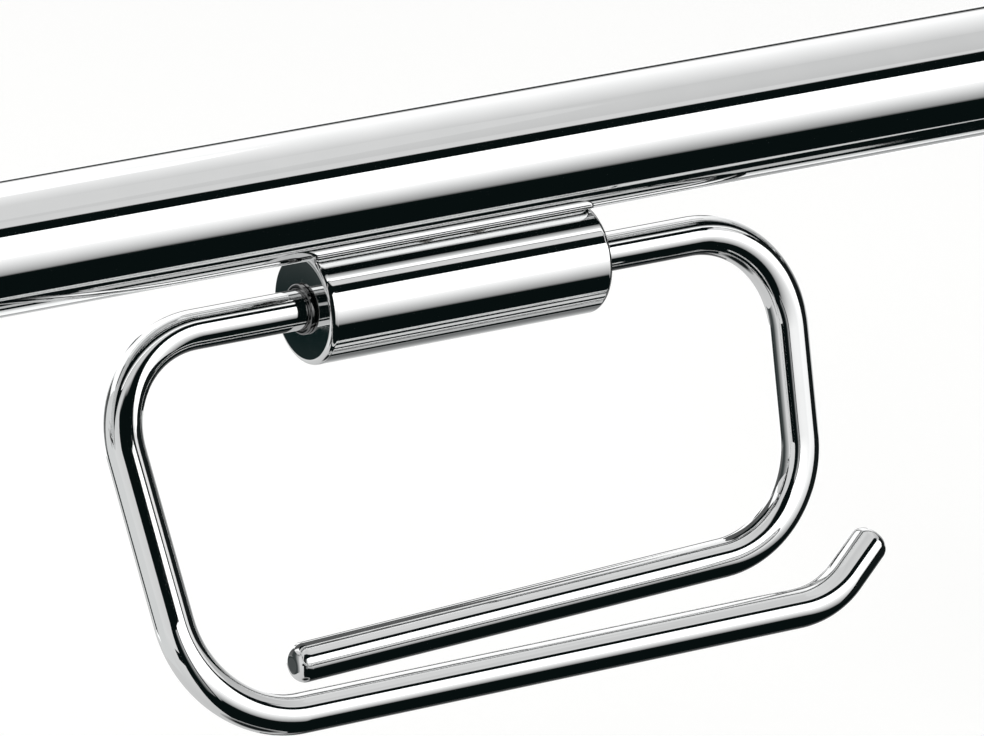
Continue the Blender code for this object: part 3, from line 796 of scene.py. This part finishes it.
# %% [markdown]
# ## Bushes
#
# A bush is the plain bearing in each end of the housing. Only its flange shows, as a glossy black
# ring round the rod.

# %% Make the bushes
FLANGE_RADIUS = 0.00625
FLANGE_FACE = HOUSING_END + SEAT_GAP
FLANGE_THICKNESS = 0.001
FLANGE_TOP = FLANGE_FACE + FLANGE_THICKNESS
FLANGE_EDGE = 0.00045
FINE_EDGE = 0.0002

for side, side_name in SIDES.items():
    bush_outline = [
        (FLANGE_TOP, ROD_RADIUS + ROD_FIT, FINE_EDGE),
        (FLANGE_TOP, FLANGE_RADIUS, FLANGE_EDGE),
        (FLANGE_FACE, FLANGE_RADIUS, 0),
        (FLANGE_FACE, SLEEVE_RADIUS, 0),
        (SLEEVE_START, SLEEVE_RADIUS, FINE_EDGE),
        (SLEEVE_START, ROD_RADIUS + ROD_FIT, 0),
    ]
    bush = revolve("flanged_bush_" + side_name, fillet(bush_outline), PIVOT, OUTWARD[side], closed=True)
    finish_piece(bush, black_acetal, "black_acetal", "bar", "bush_" + side_name)

# %% [markdown]
# ## What holds the housing and the rods
#
# Under the housing, two socket screws go up through washers into blind rivet nuts, which were
# crimped into the bar's wall from outside. On each side a grub screw reaches into a groove of the
# rod, so that it can turn but not slide out.

# %% Make the washers and the screws
WASHER_HOLE = 0.0027
WASHER_RADIUS = 0.0044
WASHER_TOP = MOUNT_SEAT - SEAT_GAP
WASHER_THICKNESS = 0.0011
WASHER_BOTTOM = WASHER_TOP - WASHER_THICKNESS
CAP_HEIGHT = 0.005
CAP_FACE = WASHER_BOTTOM - SEAT_GAP - CAP_HEIGHT
CAP_SCREW = {"length": 0.03, "threaded": 0.029, "head": (CAP_HEIGHT, 0.00425),
             "edges": (FINE_EDGE, SOFT_EDGE), "key": (0.004, 0.0025)}
RETAINING_SCREW = {"length": 0.008, "dog": (0.002, 0.00125), "key": (0.002, 0.002)}
RETAINING_FACE = -0.012

cap_rings = headed_rings(**CAP_SCREW, **M5_THREAD)
retaining_rings = grub_rings(**RETAINING_SCREW, **M4_THREAD)

for side, side_name in SIDES.items():
    washer_outline = [
        (WASHER_TOP, WASHER_HOLE, 0),
        (WASHER_TOP, WASHER_RADIUS, FINE_EDGE),
        (WASHER_BOTTOM, WASHER_RADIUS, FINE_EDGE),
        (WASHER_BOTTOM, WASHER_HOLE, 0),
    ]
    fixing("flat_washer_" + side_name, fillet(washer_outline), "washer_" + side_name,
           beside_pivot(side, MOUNT_OFFSET), sides=FIXING_SIDES, closed=True)
    fixing("cap_screw_" + side_name, cap_rings, "mount_screw_" + side_name,
           beside_pivot(side, MOUNT_OFFSET, CAP_FACE))
    fixing("dog_point_screw_" + side_name, retaining_rings, "retaining_screw_" + side_name,
           beside_pivot(side, RETAINING_OFFSET, RETAINING_FACE))

# %% [markdown]
# A rivet nut is a sleeve with a thin wall, which bulges behind the bar's wall when it is crimped.
# Its head has to follow the bar's round, so what lies outside the bar is cut off.

# %% Make the rivet nuts
NUT_BORE = 0.0026
NUT_END = -0.005
NUT_BULGE_RADIUS = 0.0046
NUT_BULGE = -0.0121
NUT_BULGE_SLOPE = 0.0012
NUT_EDGE = 0.0004

for side, side_name in SIDES.items():
    nut_outline = [
        (NUT_END, NUT_BORE, CRISP_EDGE),
        (NUT_END, NUT_BODY_RADIUS, FINE_EDGE),
        (NUT_BULGE + NUT_BULGE_SLOPE, NUT_BODY_RADIUS, NUT_EDGE),
        (NUT_BULGE, NUT_BULGE_RADIUS, NUT_EDGE),
        (NUT_BULGE - NUT_BULGE_SLOPE, NUT_BODY_RADIUS, NUT_EDGE),
        (NUT_HEAD_TOP, NUT_BODY_RADIUS, 0),
        (-BAR_RADIUS, NUT_HEAD_RADIUS, 0),
        (-BAR_RADIUS, NUT_BORE, FINE_EDGE),
    ]
    spot = (side * MOUNT_OFFSET, -BAR_PROJECTION, 0)
    nut = revolve("blind_nut_" + side_name, fillet(nut_outline), spot, sides=FIXING_SIDES, closed=True)
    bar_round = plain_drill(BAR_RADIUS, -BAR_RADIUS, BAR_RADIUS)
    cut(nut, revolve("bar_round", bar_round, spot, ALONG_X, HOUSING_SIDES), keep="INTERSECT")
    finish_piece(nut, rolled_steel, "stainless_steel", "bar", "rivet_nut_" + side_name)

# %% [markdown]
# ## The two rods
#
# Both arms are 10 mm round rod with bends of 27 mm on the centre line. Each starts inside the
# housing, with a chamfer and two turned grooves. Its free end is rounded over almost completely,
# with only a small flat left. A rod is made as if it hung straight down, and is then swung forward
# about the pivot.

# %% Rods with grooves
ROD_BEND = 0.027
ROD_CHAMFER = 0.0006
ROD_END_ROUND = 0.0032
ROD_SIDES = 96
RETAINING_GROOVE = (0.0045, 0.0032, 0.0012)
RING_GROOVE = (0.0095, 0.002, 0.0015)
GROOVE_WALL = 0.00005


def groove(middle, width, depth):
    """A groove across a rod, as (distance from the rod's start, radius)."""
    near, far = middle - width / 2, middle + width / 2
    floor_radius = ROD_RADIUS - depth
    return [(near, ROD_RADIUS), (near + GROOVE_WALL, floor_radius),
            (far - GROOVE_WALL, floor_radius), (far, ROD_RADIUS)]


def bent_rod(name, corners, swing, body, node_name):
    """A rod through its corners, with grooves at its start and a rounded free end."""
    start, end = corners[0], corners[-1]
    first = (corners[1] - start).normalized()
    last = (end - corners[-2]).normalized()
    profile = [(0, ROD_RADIUS - ROD_CHAMFER), (ROD_CHAMFER, ROD_RADIUS)]
    profile += groove(*RETAINING_GROOVE) + groove(*RING_GROOVE)
    stations = [(start + first * along, radius) for along, radius in profile]
    stations += [(point, ROD_RADIUS) for point in bent_line(corners, ROD_BEND)[1:-1]]
    free_end = fillet([(-1, ROD_RADIUS, 0), (0, ROD_RADIUS, ROD_END_ROUND), (0, 0, 0)], 12)[1:-1]
    stations += [(end + last * along, radius) for along, radius in free_end]
    rod = in_scene(sweep(name, stations, ROD_SIDES, capped=True), PIVOT)
    rod.data.transform(Matrix.Rotation(-swing, 4, "X"))
    return finish_piece(rod, chrome_plate, "polished_chrome", body, node_name)


print("a rod's bends have a radius of", 1000 * ROD_BEND, "mm")

# %% [markdown]
# From the housing each rod runs out along the pivot's axis, bends down, and bends again into its
# bar. The roll arm ends in an upturned tip, and the brake arm's bar droops by two degrees.

# %% Make the roll arm and the brake arm
ROD_START = 0.016
ARM_OFFSET = 0.09825
ROLL_BAR_REACH = 0.0962
ROLL_BAR_LENGTH = 0.1788
TIP_LENGTH = 0.023
TIP_ANGLE = math.radians(36.5)
ROLL_SWING = math.radians(36.1)
BRAKE_BAR_REACH = 0.080
BRAKE_BAR_LENGTH = 0.152
BRAKE_DROOP = math.radians(2)
BRAKE_SWING = math.radians(16.5)

elbow = Vector((-ARM_OFFSET, 0, 0))
lower = elbow + Vector((0, 0, -ROLL_BAR_REACH))
tip_corner = lower + Vector((ROLL_BAR_LENGTH, 0, 0))
tip_end = tip_corner + TIP_LENGTH * Vector((math.cos(TIP_ANGLE), 0, math.sin(TIP_ANGLE)))
roll_corners = [Vector((-ROD_START, 0, 0)), elbow, lower, tip_corner, tip_end]
roll_rod = bent_rod("roll_arm_rod", roll_corners, ROLL_SWING, "roll_arm", "roll_arm")

elbow = Vector((ARM_OFFSET, 0, 0))
lower = elbow + Vector((0, 0, -BRAKE_BAR_REACH))
brake_end = lower + BRAKE_BAR_LENGTH * Vector((-math.cos(BRAKE_DROOP), 0, -math.sin(BRAKE_DROOP)))
brake_corners = [Vector((ROD_START, 0, 0)), elbow, lower, brake_end]
brake_rod = bent_rod("brake_arm_rod", brake_corners, BRAKE_SWING, "brake_arm", "brake_arm")

# %% [markdown]
# ## The friction rings
#
# A rubber ring sits in a groove of each rod and rubs in the housing's bore, which is what holds
# an arm where it is put. It is hidden, and the CAD torus already has the right shape, so it keeps
# its mesh: a Subdivision Surface modifier rounds it, and it gets the rubber.

# %% Finish the friction rings
for side_name in SIDES.values():
    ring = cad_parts["friction_ring_" + side_name]
    ring.data.materials.clear()
    ring.data.materials.append(black_rubber)
    ring.data.shade_smooth()
    rounding = ring.modifiers.new("Round", "SUBSURF")
    rounding.levels = 1
    rounding.render_levels = 1
    print(ring.name, "keeps its CAD mesh")

# %% [markdown]
# ## The studio
#
# Polished chrome shows no colour of its own, only a picture of the room, so its look is made by
# what stands round it. Product photographers hang large cards about the piece: a lit white one, a
# softbox, for the highlight, grey ones for the calm areas, and black ones, flags, which draw the
# dark lines that make metal read as metal. Long straight bars turn each card into a stripe.
#
# The cards could be lamps, but then they would also light the floor. So they are sheets that glow,
# far off, and only reflections see them. Each hangs between a lower and an upper edge. An edge is
# a row of azimuths and elevations in degrees: azimuth 0 is the side that the bar faces, and
# it grows towards the bar's right end. A card's glow is one number, or one for the lower edge and
# one for the upper, or such a pair for each end. In between it changes evenly. Every card glows a
# trace more in green and blue than in red, which gives the blacks in the chrome their cold tone.

# %% A glowing sheet
CARD_STEP = 2.0
CARD_ROWS = 12


def glow_material(name, see_through):
    """A material that shines with the glow of each point, over what is behind it or added to it."""
    material = bpy.data.materials.new(name)
    material.use_nodes = True
    tree = material.node_tree
    tree.nodes.remove(tree.nodes["Principled BSDF"])
    painted = add_node(tree, "ShaderNodeAttribute", {"attribute_name": "glow"})
    surface = add_node(tree, "ShaderNodeEmission", {"Strength": 1}, {"Color": painted.outputs["Color"]})
    if see_through:
        clear = add_node(tree, "ShaderNodeBsdfTransparent")
        surface = add_node(tree, "ShaderNodeAddShader", links={0: surface.outputs[0], 1: clear.outputs[0]})
    tree.links.new(surface.outputs[0], tree.nodes["Material Output"].inputs["Surface"])
    material.cycles.emission_sampling = "NONE"
    return material


def direction(azimuth, elevation):
    """The unit vector towards an azimuth and an elevation in degrees."""
    turn = math.radians(azimuth)
    rise = math.radians(elevation)
    return Vector((math.sin(turn) * math.cos(rise), -math.cos(turn) * math.cos(rise), math.sin(rise)))


def height_at(edge, azimuth):
    """The elevation of an edge at an azimuth."""
    for (before, low), (after, high) in zip(edge, edge[1:]):
        if azimuth <= after:
            return low + (high - low) * (azimuth - before) / (after - before)
    return edge[-1][1]


def glowing_sheet(name, lower_edge, upper_edge, ends, distance, teal):
    """A sheet between two edges, with the glow of each point stored in it."""
    (start_low, start_high), (end_low, end_high) = ends
    first, last = lower_edge[0][0], lower_edge[-1][0]
    columns = max(1, round((last - first) / CARD_STEP))
    bm = bmesh.new()
    layer = bm.verts.layers.float_color.new("glow")
    rows = []
    for column in range(columns + 1):
        along = column / columns
        azimuth = first + (last - first) * along
        low, high = height_at(lower_edge, azimuth), height_at(upper_edge, azimuth)
        bottom_glow = start_low + (end_low - start_low) * along
        top_glow = start_high + (end_high - start_high) * along
        row = []
        for step in range(CARD_ROWS + 1):
            share = step / CARD_ROWS
            value = bottom_glow + (top_glow - bottom_glow) * share
            point = bm.verts.new(distance * direction(azimuth, low + (high - low) * share))
            point[layer] = (value, value + teal, value + teal, 1)
            row.append(point)
        rows.append(row)
    for one, two in zip(rows, rows[1:]):
        for step in range(CARD_ROWS):
            bm.faces.new((one[step], two[step], two[step + 1], one[step + 1]))
    return mesh_object(name, bm)


print("a sheet's points are", CARD_STEP, "degrees apart")

# %% [markdown]
# Real cards stand close, so the same direction can be bright in one piece and dark in another.
# Far sheets can't do that, but light linking can: it names the pieces that a card shines on. Such
# a card must not hide what hangs behind it from the other pieces, so it only adds its glow. To
# keep a direction dark for one piece alone, a dark card is hung first, and then one in front of it
# that shines on all the rest.

# %% A card that only reflections see
CARD_DISTANCE = 20.0
CARD_SPACING = 0.2
TEAL = 0.003
DEEP_TEAL = 0.009

cards = []
card_glow = glow_material("card_glow", see_through=False)
added_glow = glow_material("added_glow", see_through=True)


def card(name, lower_edge, upper_edge, glow, teal=TEAL, shines_on=None):
    """Hang a sheet between two edges. Later cards hang in front of earlier ones."""
    if not isinstance(glow, tuple):
        glow = (glow, glow)
    if not isinstance(glow[0], tuple):
        glow = (glow, glow)
    distance = CARD_DISTANCE - CARD_SPACING * len(cards)
    sheet = in_scene(glowing_sheet(name, lower_edge, upper_edge, glow, distance, teal))
    sheet.data.materials.append(added_glow if shines_on else card_glow)
    sheet.visible_camera = False
    sheet.visible_diffuse = False
    sheet.visible_transmission = False
    sheet.visible_shadow = False
    if shines_on:
        sheet.light_linking.receiver_collection = shines_on
    cards.append(sheet)


def panel(name, azimuths, elevations, glow, **options):
    """Hang a card with level edges, between two azimuths and two elevations."""
    bottom, top = elevations
    card(name, level(azimuths, bottom), level(azimuths, top), glow, **options)


def level(azimuths, elevation):
    """An edge at one elevation, between two azimuths."""
    return [(azimuth, elevation) for azimuth in azimuths]


def raised(edge, *rises):
    """An edge lifted by a height at each of its points, or by the same height everywhere."""
    heights = rises if len(rises) > 1 else rises * len(edge)
    return [(azimuth, elevation + rise) for (azimuth, elevation), rise in zip(edge, heights)]


print("two kinds of card:", card_glow.name, "and", added_glow.name)

# %% [markdown]
# A linked card shines on a collection of pieces. A piece may be in several, so groups can overlap.

# %% Groups of pieces that a card can shine on
def lit_group(name, *pieces):
    """A collection of pieces, for a card that shines on nothing else."""
    group = bpy.data.collections.new(name)
    for piece in pieces:
        group.objects.link(piece)
    return group


def all_but(name, *left_out):
    """A group of every finished piece except some."""
    return lit_group(name, *[piece for piece in finished if piece not in left_out])


only_bar = lit_group("only_bar", bar)
only_housing = lit_group("only_housing", housing)
only_roll_arm = lit_group("only_roll_arm", roll_rod)
both_arms = lit_group("both_arms", roll_rod, brake_rod)
bar_and_housing = lit_group("bar_and_housing", bar, housing)
all_but_housing = all_but("all_but_housing", housing)
all_but_brake_arm = all_but("all_but_brake_arm", brake_rod)
all_but_both = all_but("all_but_housing_and_brake_arm", housing, brake_rod)

# %% [markdown]
# The calm grey of the room comes first: a wall on the left, a ceiling, and bright sheets behind.
# The upper sides of all rounds show these. The housing's left rim mirrors the left wall on its
# way from the end face to the round side. That stretch of the rim is black, so the wall's front
# part is dark for the housing alone.

# %% Hang the walls, the ceiling and the bright back
WHITE = 1.3
DARK = 0.01
LEFT_WALL = (-180, -58)
WALL_FOOT = (-90, -58)
WALL_FRONT = (-104, -58)

panel("left_wall", LEFT_WALL, (-76, 0), (0.64, 0.8))
panel("left_wall_top", LEFT_WALL, (0, 66), (0.82, 0.67))
panel("dark_wall_foot", WALL_FOOT, (-46, -26), DARK)
panel("glow_wall_foot", WALL_FOOT, (-46, -26), (0.69, 0.74), shines_on=all_but_housing)
panel("dark_wall_front", WALL_FRONT, (-26, 66), DARK)
panel("glow_wall_front", WALL_FRONT, (-26, 0), (0.74, 0.8), shines_on=all_but_housing)
panel("glow_wall_top", WALL_FRONT, (0, 66), (0.82, 0.67), shines_on=all_but_housing)
panel("ceiling_left_back", LEFT_WALL, (64, 90), 0.8)
panel("ceiling_front", (-75, 62), (42, 90), (0.8, 0.68))
panel("ceiling_right", (58, 110), (24, 62), (0.48, 0.76))
panel("ceiling_top", (60, 180), (58, 90), (0.8, 0.72))
panel("right_back_low", (124, 180), (-76, -26), (0.6, 0.66))
panel("bright_back", (140, 180), (-27, 60), WHITE)
panel("bright_back_left", (-180, -164), (-27, 49), WHITE)
panel("bright_back_top", (104, 150), (22, 60), ((0.66, 0.76), (1.4, 1.1)))
card("white_left_back", [(-180, 22), (-160, 18), (-142, 17), (-130, 36), (-115, 43)],
     [(-180, 49), (-150, 49), (-130, 48), (-115, 45)], 1.25)
print(len(cards), "cards so far")

# %% [markdown]
# The left side of the roll arm is its outer side, and it is light. The left side of the brake arm
# is its inner side, and it is dark, though both look the same way. So the sheets to the left and
# behind are dark grey, and all but the brake arm get the missing brightness back. The housing's
# rim looks into the same field, and has a dimmer glow of its own there.

# %% Hang the field behind the object
BLACK = 0.003
FIELD_GLOW = 0.77
FIELD_BOTTOM = -38
RIM_AZIMUTHS = (-141, -104)

back_edge = [(135, 46), (140, 39), (145, 34), (147, 20), (152, 13), (158, 18), (165, 23), (180, 24)]
back_edge_left = [(-180, 24), (-167, 22), (-147, 18)]
back_top = level((135, 180), 60)
back_top_left = level((-180, -147), 60)
field_top = [(-164, 18), (-142, 17), (-126, 20), (-98, 24)]
field_strips = (
    (-164, -141, 0.2, 0.05, all_but_brake_arm),
    (-141, -126, 0.05, 0.05, all_but_both),
    (-126, -98, 0.05, 0.6, all_but_both),
)

card("grey_behind", back_edge, back_top, (0.12, 0.1))
card("grey_behind_left", back_edge_left, back_top_left, 0.12)
card("glow_behind", back_edge, back_top, (1.18, 1.2), shines_on=all_but_brake_arm)
card("glow_behind_left", back_edge_left, back_top_left, 1.16, shines_on=all_but_brake_arm)
for start, end, start_glow, end_glow, lit_pieces in field_strips:
    bottom = level((start, end), FIELD_BOTTOM)
    start_rest, end_rest = FIELD_GLOW - start_glow, FIELD_GLOW - end_glow
    card("grey_field", bottom, field_top, ((start_glow, start_glow), (end_glow, end_glow)),
         teal=DEEP_TEAL)
    card("glow_field", bottom, field_top, ((start_rest, start_rest), (end_rest, end_rest)),
         shines_on=lit_pieces)
panel("glow_rim_low", RIM_AZIMUTHS, (FIELD_BOTTOM, -20), 0.66, shines_on=only_housing)
panel("glow_rim", RIM_AZIMUTHS, (-20, 10), (0.4, 0.1), shines_on=only_housing)
card("black_back_left", [(-180, 50), (-150, 48), (-128, 47)],
     [(-180, 66), (-145, 61), (-128, 52)], BLACK)
card("black_back_right", [(140, 47), (150, 48), (160, 50.5), (180, 50.5)],
     [(140, 52), (150, 59.5), (160, 63), (180, 66)], BLACK)
print(len(cards), "cards so far")

# %% [markdown]
# To the right and below nearly everything is black, which draws the broad dark stripe along the
# lower half of each round. A few soft patches break it: towards the back on the right, for the
# light edge of the arms' uprights, and low behind, for the thin bright line near the bar's
# underside.

# %% Hang the right side and what is below
RIGHT_SIDE = (100, 142)

side_edge = [(100, -9), (115, -11), (142, -19)]

card("black_right", level((58, 118), -80), [(58, 24), (66, 29), (84, 27), (118, 26)], 0.008)
panel("right_side_dark", RIGHT_SIDE, (-30, 24), DARK)
card("right_side_fade", side_edge, level(RIGHT_SIDE, 24), ((0.02, 0.06), (1.1, 1.3)),
     shines_on=all_but_housing)
panel("right_low_fade", (104, 128), (-76, -30), ((DARK, DARK), (0.6, 0.2)))
panel("low_behind", (112, 150), (-60, -26), ((DARK, 0.1), (DARK, 0.56)))
panel("glow_low_behind", (102, 150), (-60, -25), ((0.12, 0.1), (0.2, 0.45)), shines_on=bar_and_housing)
panel("bright_low_start", (102, 124), (-62, -48), ((DARK, DARK), (1, 1)), shines_on=only_bar)
card("bright_low", [(124, -61), (140, -60), (150, -47)],
     [(124, -49), (132, -47.5), (140, -50), (150, -42)], 0.9, shines_on=only_bar)
card("bright_low_edge", [(100, -12), (118, -20), (142, -30)], side_edge, ((0.5, 0.5), (1.2, 1.2)),
     shines_on=all_but_housing)
card("black_low", level((-64, 108), -80),
     [(-64, -50), (-58, -10), (60, -10), (64, -30), (108, -30)], BLACK)
print(len(cards), "cards so far")

# %% [markdown]
# The softbox hangs in front, between two edges that the fade below it and the black arc above it
# share. A softbox lights its own stand and the table in front of it, and that light dies away
# towards the object: this is the fade, which ends at the table's edge. A photographer lays the
# black arc over the softbox on purpose, because it draws the hard line along the top of every bar.
# A black flag closes the softbox off on the left, and the arms see two soft lines beside it.

# %% Hang the softbox and its flags
BRIGHT = 1.7
BESIDE_FLAG = (-18, 39)
ARC_FADES = (5, 5, 5, 5, 5, 6, 5, 5, 3, 2, 1.5, 1.3, 1.2, 1.2, 1, 1, 1)

softbox_bottom = [(-27, 12), (20, 11), (30, 6), (45, 4), (58, 3), (68, 10)]
softbox_top = [(-27, 38), (-15, 41.3), (0, 42.8), (8, 43.8), (20, 43), (30, 41), (35, 38.9), (37.5, 37.4),
               (39.5, 36), (41.5, 34), (45, 31.5), (50, 29), (60, 27), (68, 18)]
arc_bottom = [(-62, 30), (-45, 30), (-25, 38), (-15, 41), (0, 42.5), (8, 43.4), (20, 42.5), (30, 40.5),
              (35, 38.4), (37.5, 36.9), (39.5, 35.5), (41.5, 33.5), (45, 32), (50, 37.5), (55, 38),
              (60, 42), (65, 48)]
arc_top = [(-62, 51), (-55, 56), (-45, 59), (-35, 62), (-20, 63), (0, 60), (10, 58.5), (20, 57.5),
           (30, 54.5), (35, 52.6), (40, 51), (45, 49.7), (47.2, 48.4), (49.3, 46.7), (51, 45), (60, 44.5),
           (65, 49)]
table_edge = [(-27, -13), (0, -15), (10, -16), (20, -17), (28, -19), (30, -15), (35, -17),
              (40, -18.5), (50, -22), (60, -23)]

card("black_left_flag", level((-61, -27), -60), [(-61, 50), (-43, 58), (-27, 42)], BLACK)
panel("glow_beside_flag", (-43, -33), BESIDE_FLAG, ((DARK, 0.02), (0.3, 0.75)), shines_on=both_arms)
panel("glow_beside_softbox", (-29.5, -27), BESIDE_FLAG, (0.4, 1), shines_on=both_arms)
card("fade_over_arc", arc_top, raised(arc_top, *ARC_FADES), (BLACK, 0.78))
card("black_arc", arc_bottom, arc_top, BLACK)
card("grey_over_softbox", level((46, 63), 26), [(46, 35), (50, 37.5), (63, 38)], 0.92)
card("under_table_edge", raised(table_edge, -3), table_edge, (BLACK, 0.36))
card("softbox_fade", table_edge, softbox_bottom[:-1] + [(60, 4)], (0.36, 1.24))
card("softbox", softbox_bottom, softbox_top, BRIGHT)
print(len(cards), "cards so far")

# %% [markdown]
# What is left are thin things. The edge of a round is seen at a glancing angle and mirrors what
# stands behind it, so a dark outline takes a narrow dark strip there. `outline_edge` is the middle
# of that strip. The housing's end face is flat and mirrors one spot only, low on the left and
# behind, and the dark column is what it shows. A black disc straight below is the shaded floor.

# %% Hang the thin lines
COLUMN = (-158, -142)
LINE_DARK = 0.004

outline_edge = [(140, 6.5), (146, 4.3), (148.6, 2.6), (151, 0.2), (158, -4)]

panel("glow_left_arm", COLUMN, (-30, -14), 0.6, shines_on=only_roll_arm)
card("left_flag_wing", [(-73, -10), (-61, -7)], [(-73, 0), (-61, 4)], BLACK)
card("line_behind_lower", raised(outline_edge, -13), raised(outline_edge, -3), (WHITE, DARK))
card("line_behind", raised(outline_edge, -3), raised(outline_edge, 2), LINE_DARK)
card("line_behind_upper", raised(outline_edge, 2), raised(outline_edge, 10), (DARK, WHITE))
panel("line_far_behind", (172, 180), (9, 20), BLACK)
panel("dark_column_foot", COLUMN, (-27, -22.6), (0.08, LINE_DARK), teal=DEEP_TEAL)
panel("dark_column_middle", COLUMN, (-22.6, -16), (LINE_DARK, 0.3), teal=DEEP_TEAL)
panel("dark_column", COLUMN, (-16, 19), (0.16, 0.07))
panel("bright_line_below", (56, 64), (-57, -50), 0.72, shines_on=bar_and_housing)
panel("second_line_below", (83, 96), (-63, -56), 0.55, shines_on=bar_and_housing)
panel("nadir_fade", (-180, 180), (-80, -72), (DARK, 0.5))
panel("nadir", (-180, 180), (-90, -80), DARK)
print(len(cards), "cards, the farthest", CARD_DISTANCE, "m away")

# %% [markdown]
# ## Background, floor and lamp
#
# Everything else is plain. The world is white at strength 1 wherever the camera, a reflection or a
# see-through part meets it, and somewhat weaker as a light, which leaves room for one big soft
# lamp. Together they light a white surface at about 1, so a colour renders as it is written.

# %% A white world
AMBIENT = 0.75

world = bpy.data.worlds.new("studio")
bpy.context.scene.world = world
world.use_nodes = True
tree = world.node_tree
tree.nodes.clear()
path = add_node(tree, "ShaderNodeLightPath")
mirrored = add_node(tree, "ShaderNodeMath", {"operation": "MAXIMUM"},
                    {0: path.outputs["Is Camera Ray"], 1: path.outputs["Is Glossy Ray"]})
seen = add_node(tree, "ShaderNodeMath", {"operation": "MAXIMUM"},
                {0: mirrored.outputs[0], 1: path.outputs["Is Transmission Ray"]})
strength = add_node(tree, "ShaderNodeMapRange", {"To Min": AMBIENT, "To Max": 1},
                    {"Value": seen.outputs[0]})
white = add_node(tree, "ShaderNodeBackground", {"Color": (1, 1, 1, 1)},
                 {"Strength": strength.outputs[0]})
add_node(tree, "ShaderNodeOutputWorld", links={"Surface": white.outputs[0]})
print("the world lights with a strength of", AMBIENT)

# %% [markdown]
# The floor is matt white paint. It keeps the object's shadow, and its rim fades into the
# background. To the camera alone the paint glows a little, which lifts it to the white of the
# background round it without putting more light on the object.

# %% Floor
FLOOR_DROP = 0.32
FLOOR_FORWARD = 0.08
FLOOR_RADIUS = 1.7
FLOOR_SIDES = 96
FADE_START = 0.6 * FLOOR_RADIUS
FLOOR_LIFT = 0.1

paint_settings = {"Base Color": linear("F6F6F5"), "Roughness": 0.9, "Emission Color": (1, 1, 1, 1)}
floor_paint, tree, shader = new_finish("matt_white_floor_paint", paint_settings)
place = add_node(tree, "ShaderNodeTexCoord")
away = add_node(tree, "ShaderNodeVectorMath", {"operation": "LENGTH"}, {0: place.outputs["Object"]})
rim = add_node(tree, "ShaderNodeMapRange",
               {"interpolation_type": "SMOOTHSTEP", "From Min": FADE_START, "From Max": FLOOR_RADIUS,
                "To Min": 1, "To Max": 0},
               {"Value": away.outputs["Value"]})
facing = add_node(tree, "ShaderNodeNewGeometry")
above = add_node(tree, "ShaderNodeMath", {"operation": "SUBTRACT", 0: 1}, {1: facing.outputs["Backfacing"]})
shown = add_node(tree, "ShaderNodeMath", {"operation": "MULTIPLY"},
                 {0: rim.outputs[0], 1: above.outputs[0]})
tree.links.new(shown.outputs[0], shader.inputs["Alpha"])
path = add_node(tree, "ShaderNodeLightPath")
lift = add_node(tree, "ShaderNodeMath", {"operation": "MULTIPLY", 1: FLOOR_LIFT},
                {0: path.outputs["Is Camera Ray"]})
tree.links.new(lift.outputs[0], shader.inputs["Emission Strength"])

floor_place = (0, -FLOOR_FORWARD, -FLOOR_DROP)
floor = revolve("studio_floor", [(0, 0), (0, FLOOR_RADIUS)], floor_place, sides=FLOOR_SIDES)
floor.data.materials.append(floor_paint)
floor.visible_glossy = False
print("floor", FLOOR_DROP, "m below the bar's axis")

# %% [markdown]
# The lamp is a wide disc in front, above and to the left, so its shadows are soft.

# %% Lamp
LAMP_SIZE = 2.0
LAMP_POWER = 60
LAMP_PLACE = Vector((-1.2, -1.9, 2.2))
LAMP_AIM = Vector((0, 0, -0.2))

lamp_data = bpy.data.lights.new("soft_lamp", "AREA")
lamp_data.shape = "DISK"
lamp_data.size = LAMP_SIZE
lamp_data.energy = LAMP_POWER
lamp = in_scene(bpy.data.objects.new("soft_lamp", lamp_data), LAMP_PLACE)
lamp.rotation_euler = (LAMP_AIM - LAMP_PLACE).to_track_quat("-Z", "Y").to_euler()
lamp.visible_glossy = False
print("lamp", round(LAMP_PLACE.length, 2), "m away")

# %% [markdown]
# ## The camera
#
# The camera looks down on the bar from the front and the left, through a long lens. It is tilted a
# little about its own axis, and the bar leaves the picture on both sides. Its distance is what
# makes parallel edges run together by the right amount, and the lens then fills the picture.

# %% Camera
CAMERA_PLACE = Vector((-1.3572, -2.1013, 0.9604))
CAMERA_AIM = Vector((0.0064, -0.0776, -0.0486))
CAMERA_LENS = 397.3
CAMERA_ROLL = math.radians(3.47)
SENSOR_WIDTH = 36
CAMERA_REACH = 50

camera_data = bpy.data.cameras.new("long_lens")
camera_data.lens = CAMERA_LENS
camera_data.sensor_width = SENSOR_WIDTH
camera_data.clip_end = CAMERA_REACH
camera = in_scene(bpy.data.objects.new("long_lens", camera_data), CAMERA_PLACE)
level_view = (CAMERA_AIM - CAMERA_PLACE).to_track_quat("-Z", "Y").to_matrix()
camera.rotation_euler = (level_view @ Matrix.Rotation(CAMERA_ROLL, 3, "Z")).to_euler()
bpy.context.scene.camera = camera
bpy.context.scene.view_settings.view_transform = "Standard"
print("camera", round((CAMERA_AIM - CAMERA_PLACE).length, 3), "m away")
